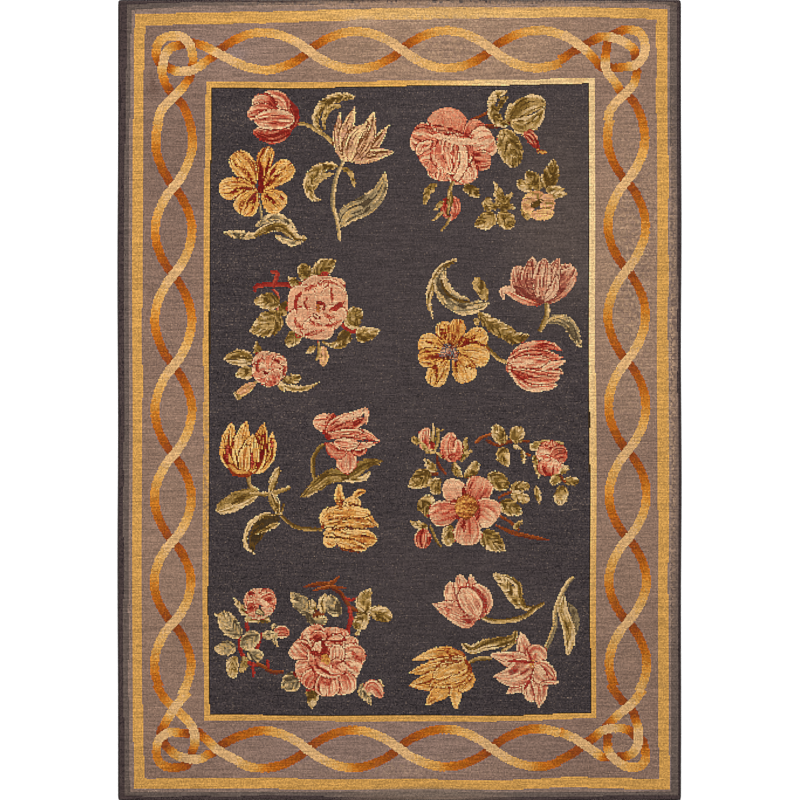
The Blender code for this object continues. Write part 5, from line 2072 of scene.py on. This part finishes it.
@dataclass
class KnotPile:
    """The clipped pile, as lengthwise strips with one face for each knot and a shoulder along the rim."""

    outline: ClothOutline
    strips: int = 4
    inset: float = 0.0036
    height: float = 0.0079
    unevenness: float = 0.00022
    shoulder: float = 0.0013
    skirt_height: float = 0.0048
    skirt_inset: float = 0.0040
    swell: float = 11.0
    shoulder_knots: float = 1.5
    shoulder_curve: float = 1.6

    def build(self, chart: Chart, wool: Material) -> list[Piece]:
        """Builds every strip.

        Args:
            chart: The design, knot by knot.
            wool: The pile's material.

        Returns:
            The strips, from left to right.
        """
        colours = daylight_to_linear(chart.colour)[::-1]
        edges = np.linspace(0, chart.columns, self.strips + 1).round().astype(int)
        made = []
        for index, (first, last) in enumerate(zip(edges[:-1], edges[1:])):
            made.append(self.strip(f"pile_strip_{index + 1}", colours, int(first), int(last), wool))
        return made

    def strip(self, name: str, colours: Grid, first: int, last: int, wool: Material) -> Piece:
        """Builds one strip of knots.

        Args:
            name: The piece's name.
            colours: The whole rug's linear colours, front row first.
            first: Its first column of knots.
            last: The column after its last.
            wool: The pile's material.

        Returns:
            The strip.
        """
        rows, columns = colours.shape[:2]
        numbers_x = np.arange(first, last + 1)
        numbers_y = np.arange(rows + 1)
        skirt_left, skirt_right = first == 0, last == columns
        grid_x = np.concatenate([[first]] * skirt_left + [numbers_x] + [[last]] * skirt_right)
        grid_y = np.concatenate([[0], numbers_y, [rows]])
        column, row = np.meshgrid(grid_x, grid_y)
        hem = np.zeros(column.shape, bool)
        hem[0], hem[-1] = True, True
        if skirt_left:
            hem[:, 0] = True
        if skirt_right:
            hem[:, -1] = True
        across, along = 2 * column / columns - 1, 2 * row / rows - 1
        x, y = self.outline.warp(across, along, self.inset)
        low_x, low_y = self.outline.warp(across, along, self.skirt_inset)
        z = self.surface(column, row, columns, rows)
        x, y = np.where(hem, low_x, x), np.where(hem, low_y, y)
        z = np.where(hem, self.skirt_height, z)
        knot_x = np.clip(grid_x[:-1] - (np.diff(grid_x) == 0) * (grid_x[:-1] == last), 0, columns - 1)
        knot_y = np.clip(grid_y[:-1] - (np.diff(grid_y) == 0) * (grid_y[:-1] == rows), 0, rows - 1)
        return grid_piece(name, (x, y, z), (across, along), colours[np.ix_(knot_y, knot_x)], wool)

    def surface(self, column: Grid, row: Grid, columns: int, rows: int) -> Grid:
        """The pile's height: uneven from knot to knot, and lower in its outermost knots.

        Args:
            column: The corners' numbers across.
            row: The corners' numbers along.
            columns: Knots across in all.
            rows: Knots along in all.

        Returns:
            Heights in metres.
        """
        knots = scatter(column, row, seed=41) - 0.5
        swells = drift(column / self.swell, row / self.swell, seed=42) - 0.5
        rim = np.minimum(np.minimum(column, columns - column), np.minimum(row, rows - row))
        fall = self.shoulder * np.clip(1 - rim / self.shoulder_knots, 0, 1) ** self.shoulder_curve
        return self.height - self.unevenness + self.unevenness * (knots + swells) - fall


def grid_piece(
    name: str,
    places: tuple[Grid, Grid, Grid],
    sheet: tuple[Grid, Grid],
    colours: Grid,
    material: Material,
    face_down: bool = False,
) -> Piece:
    """A piece made of a grid of faces, each with one yarn colour and its place among the knots.

    Args:
        name: The piece's name.
        places: The corners' x, y and z.
        sheet: The corners' places across and along the rug, from -1 to 1.
        colours: The faces' linear colours.
        material: What it is made of.
        face_down: True where the faces look down.

    Returns:
        The piece.
    """
    rows, columns = places[0].shape
    number = np.arange(rows * columns).reshape(rows, columns)
    corners = [number[:-1, :-1], number[:-1, 1:], number[1:, 1:], number[1:, :-1]]
    if face_down:
        corners.reverse()
    faces = np.stack([corner.ravel() for corner in corners], axis=1)
    mesh = bpy.data.meshes.new(name)
    mesh.from_pydata(np.stack([place.ravel() for place in places], axis=1).tolist(), [], faces.tolist())
    paint_faces(mesh, faces, sheet, colours)
    mesh.materials.append(material)
    mesh.polygons.foreach_set("use_smooth", np.ones(len(faces), bool))
    return add_to_scene(name, mesh)


def paint_faces(mesh: bpy.types.Mesh, faces: Grid, sheet: tuple[Grid, Grid], colours: Grid) -> None:
    """Gives a mesh its knots' places as a UV map, and their colours as an attribute.

    Args:
        mesh: The mesh.
        faces: The corners' numbers of each face.
        sheet: The corners' places across and along the rug, from -1 to 1.
        colours: The faces' linear colours.
    """
    across, along = ((values.ravel()[faces] + 1) / 2 for values in sheet)
    layer = mesh.uv_layers.new(name=KNOT_MAP)
    layer.data.foreach_set("uv", np.stack([across, along], axis=-1).astype(np.float32).ravel())
    attribute = mesh.color_attributes.new(name=YARN_COLOUR, type="FLOAT_COLOR", domain="CORNER")
    opaque = np.concatenate([colours.reshape(-1, 3), np.ones((len(faces), 1))], axis=1)
    attribute.data.foreach_set("color", np.repeat(opaque, 4, axis=0).astype(np.float32).ravel())


@dataclass
class Foundation:
    """The woven foundation under the pile: a closed slab, whose back shows the knots' loops."""

    outline: ClothOutline
    inset: float = 0.0030
    top: float = 0.0062
    bottom: float = 0.0002
    knots_per_face: int = 3

    def build(self, chart: Chart, weave: Material) -> Piece:
        """Builds the slab.

        Args:
            chart: The design, whose colours come through on the back.
            weave: The back's material.

        Returns:
            The slab.
        """
        step = self.knots_per_face
        columns, rows = chart.columns // step, chart.rows // step
        blocks = chart.colour[: rows * step, : columns * step].reshape(rows, step, columns, step, 3)
        colours = daylight_to_linear(blocks.mean(axis=(1, 3)))[::-1]
        across, along = np.meshgrid(np.linspace(-1, 1, columns + 1), np.linspace(-1, 1, rows + 1))
        x, y = self.outline.warp(across, along, self.inset)
        places = (x, y, np.full_like(x, self.bottom))
        slab = grid_piece("foundation", places, (across, along), colours, weave, face_down=True)
        self.close(slab.data)
        return slab

    def close(self, mesh: bpy.types.Mesh) -> None:
        """Adds the slab's sides, and a top that the pile covers.

        Args:
            mesh: The back, as an open sheet.
        """
        shell = bmesh.new()
        shell.from_mesh(mesh)
        rim = [edge for edge in shell.edges if edge.is_boundary]
        raised = bmesh.ops.extrude_edge_only(shell, edges=rim)["geom"]
        lifted = [item for item in raised if isinstance(item, bmesh.types.BMVert)]
        for vert in lifted:
            vert.co.z = self.top
        bmesh.ops.contextual_create(shell, geom=[e for e in shell.edges if e.is_boundary])
        bmesh.ops.recalc_face_normals(shell, faces=shell.faces)
        shell.to_mesh(mesh)
        shell.free()


@dataclass
class OvercastEdge:
    """The yarn whipped over the rug's edge, stitch beside stitch all the way round."""

    outline: ClothOutline
    name: str = "overcast_stitches"
    pitch: float = 0.0037
    yarn_radius: float = 0.00105
    wrap_radius: float = 0.00195
    lean: float = 0.0016
    turn: float = math.radians(205)
    path_step: float = 0.012
    floor_gap: float = 0.0002
    arc_points: int = 7
    ring_points: int = 5
    jitter: tuple[float, float, float] = (0.04, 0.10, 0.16)
    seed: int = 17

    def build(self, yarn: Material) -> Piece:
        """Builds the stitches as one plain mesh.

        Args:
            yarn: The yarn's material.

        Returns:
            The piece.
        """
        path = self.path()
        tree = self.stitch_tree(yarn)
        stitches = path.modifiers.new("stitches", "NODES")
        stitches.node_group = tree
        values = {
            "Stitch Pitch": self.pitch,
            "Yarn Radius": self.yarn_radius,
            "Wrap Radius": self.wrap_radius,
            "Wrap Turn": self.turn,
            "Lean": self.lean,
            "Seed": self.seed,
        }
        for item in tree.interface.items_tree:
            if item.item_type == "SOCKET" and item.in_out == "INPUT" and item.name in values:
                stitches[item.identifier] = values[item.name]
        bpy.context.view_layer.update()
        evaluated = path.evaluated_get(bpy.context.evaluated_depsgraph_get())
        mesh = bpy.data.meshes.new_from_object(evaluated)
        path.modifiers.clear()
        bpy.data.objects.remove(path)
        mesh.name = self.name
        return add_to_scene(self.name, mesh)

    def path(self) -> Piece:
        """The line that the stitches follow.

        Returns:
            A closed mesh line at their middle height.
        """
        inset = self.wrap_radius + self.yarn_radius
        places = [(x, y, inset + self.floor_gap) for x, y in self.outline.loop(inset, self.path_step)]
        mesh = bpy.data.meshes.new("edge_path")
        mesh.from_pydata(places, [(i, (i + 1) % len(places)) for i in range(len(places))], [])
        return add_to_scene("edge_path", mesh)

    def stitch_tree(self, yarn: Material) -> bpy.types.GeometryNodeTree:
        """The node tree that sets a stitch on every step of the path.

        Args:
            yarn: The yarn's material.

        Returns:
            The tree.
        """
        group = bpy.data.node_groups.new(self.name, "GeometryNodeTree")
        face = group.interface
        face.new_socket("Path", in_out="INPUT", socket_type="NodeSocketGeometry")
        for name in ("Stitch Pitch", "Yarn Radius", "Wrap Radius", "Wrap Turn", "Lean"):
            face.new_socket(name, in_out="INPUT", socket_type="NodeSocketFloat")
        face.new_socket("Seed", in_out="INPUT", socket_type="NodeSocketInt")
        face.new_socket("Stitches", in_out="OUTPUT", socket_type="NodeSocketGeometry")
        tree = Tree(group)
        given = tree.add("NodeGroupInput").outputs
        taken = tree.add("NodeGroupOutput")
        arc = tree.add("GeometryNodeCurveArc", {
            "Resolution": self.arc_points, "Radius": given["Wrap Radius"],
            "Start Angle": -self.turn / 2, "Sweep Angle": given["Wrap Turn"],
        }, mode="RADIUS")
        quarter_turn = (math.pi / 2, 0.0, 0.0)
        upright = tree.add("GeometryNodeTransform", {0: arc.outputs[0], "Rotation": quarter_turn})
        here = tree.add("GeometryNodeInputPosition")
        height = tree.add("ShaderNodeSeparateXYZ", {0: here.outputs[0]})
        lean = {0: height.outputs["Z"], 1: given["Lean"]}
        slant = tree.add("ShaderNodeMath", lean, operation="MULTIPLY")
        slant_share = {0: slant.outputs[0], 1: given["Wrap Radius"]}
        shift = tree.add("ShaderNodeMath", slant_share, operation="DIVIDE")
        offset = tree.add("ShaderNodeCombineXYZ", {"Y": shift.outputs[0]})
        leaning = tree.add("GeometryNodeSetPosition", {0: upright.outputs[0], "Offset": offset.outputs[0]})
        ring = tree.add("GeometryNodeCurvePrimitiveCircle", {
            "Resolution": self.ring_points, "Radius": given["Yarn Radius"],
        }, mode="RADIUS")
        strand = tree.add("GeometryNodeCurveToMesh", {
            0: leaning.outputs[0], 1: ring.outputs[0], "Fill Caps": True,
        })
        smooth = tree.add("GeometryNodeSetShadeSmooth", {0: strand.outputs[0]})
        line = tree.add("GeometryNodeMeshToCurve", {0: given["Path"]})
        steps = tree.add("GeometryNodeResampleCurve", {
            0: line.outputs[0], "Length": given["Stitch Pitch"],
        }, mode="LENGTH")
        tangent = tree.add("GeometryNodeInputTangent")
        facing = tree.add("FunctionNodeAlignRotationToVector", {
            "Vector": tangent.outputs[0],
        }, axis="Y", pivot_axis="Z")
        jitter = tree.add("FunctionNodeRandomValue", {
            "Min": tuple(-angle for angle in self.jitter), "Max": self.jitter, "Seed": given["Seed"],
        }, data_type="FLOAT_VECTOR")
        turned = tree.add("FunctionNodeRotateRotation", {
            0: facing.outputs[0], 1: jitter.outputs[0],
        }, rotation_space="LOCAL")
        placed = tree.add("GeometryNodeInstanceOnPoints", {
            0: steps.outputs[0], "Instance": smooth.outputs[0], "Rotation": turned.outputs[0],
        })
        real = tree.add("GeometryNodeRealizeInstances", {0: placed.outputs[0]})
        dressed = tree.add("GeometryNodeSetMaterial", {0: real.outputs[0], "Material": yarn})
        tree.wire(taken, {0: dressed.outputs[0]})
        return group


@dataclass
class Rug:
    """The whole rug: pile, foundation and overcast edge."""

    outline: ClothOutline = ClothOutline()

    def build(self) -> None:
        """Charts the design, builds the pieces, and hands them to the frame."""
        chart = Design().chart()
        strips = KnotPile(self.outline).build(chart, PileWool().build())
        LOG.info("knotted %d x %d knots in %d strips", chart.columns, chart.rows, len(strips))
        slab = Foundation(self.outline).build(chart, FoundationWeave().build())
        LOG.info("wove the foundation")
        stitches = OvercastEdge(self.outline).build(EdgeYarn().build())
        LOG.info("whipped the edge, %d faces", len(stitches.data.polygons))
        self.hand_over(slab, [*strips, stitches])

    @staticmethod
    def hand_over(slab: Piece, others: list[Piece]) -> None:
        """Attaches every piece to the root body, and hides the imported rug.

        Args:
            slab: The foundation, which stands for the cloth.
            others: The pieces that lie on it.
        """
        for piece in (slab, *others):
            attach(piece, "root")
        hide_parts("rug")


@dataclass
class Studio:
    """The floor, the light and the camera, which looks straight down as the photograph does."""

    floor_size: float = 14.0
    focal_length: float = 100.0
    frame_height: float = 2.5905
    frame_offset: float = 0.0016
    world_strength: float = 0.82
    key_power: float = 290.0
    key_size: float = 3.2
    key_place: tuple[float, float, float] = (-0.35, 1.42, 5.6)
    floor_gap: float = 0.0002
    sensor_width: float = 36.0
    farthest_seen: float = 60.0

    def build(self) -> None:
        """Sets up the studio."""
        self.floor()
        self.light()
        self.camera()
        bpy.context.scene.view_settings.view_transform = "Standard"
        LOG.info("set up the studio")

    def floor(self) -> None:
        """A wide sheet of white paper just under the rug."""
        sheet = bmesh.new()
        bmesh.ops.create_grid(sheet, x_segments=8, y_segments=8, size=self.floor_size / 2)
        for vert in sheet.verts:
            vert.co.z = -self.floor_gap
        mesh = bpy.data.meshes.new("studio_floor")
        sheet.to_mesh(mesh)
        sheet.free()
        mesh.materials.append(StudioFloor().build())
        floor = add_to_scene("studio_floor", mesh)

    def light(self) -> None:
        """Even light from all around, and one large soft lamp from the upper left."""
        world = bpy.data.worlds.new("studio")
        world.use_nodes = True
        backdrop = world.node_tree.nodes["Background"]
        backdrop.inputs["Color"].default_value = (1.0, 1.0, 1.0, 1.0)
        backdrop.inputs["Strength"].default_value = self.world_strength
        bpy.context.scene.world = world
        lamp = bpy.data.lights.new("key", "AREA")
        lamp.energy = self.key_power
        lamp.size = self.key_size
        key = add_to_scene("key", lamp)
        key.location = self.key_place
        key.rotation_euler = (-Vector(self.key_place)).to_track_quat("-Z", "Y").to_euler()

    def camera(self) -> None:
        """A long lens straight above, whose frame is as high as the rug is long."""
        lens = bpy.data.cameras.new("camera")
        lens.lens = self.focal_length
        lens.sensor_width = self.sensor_width
        lens.clip_end = self.farthest_seen
        camera = add_to_scene("camera", lens)
        distance = self.frame_height * self.focal_length / self.sensor_width
        camera.location = (self.frame_offset, 0.0, distance + RUG_THICKNESS)
        bpy.context.scene.camera = camera


def main() -> None:
    """Builds the rug and its studio, and reports each piece."""
    logging.basicConfig(level=logging.INFO, format="%(name)s: %(message)s")
    Studio().build()
    Rug().build()


if __name__ == "__main__":
    main()
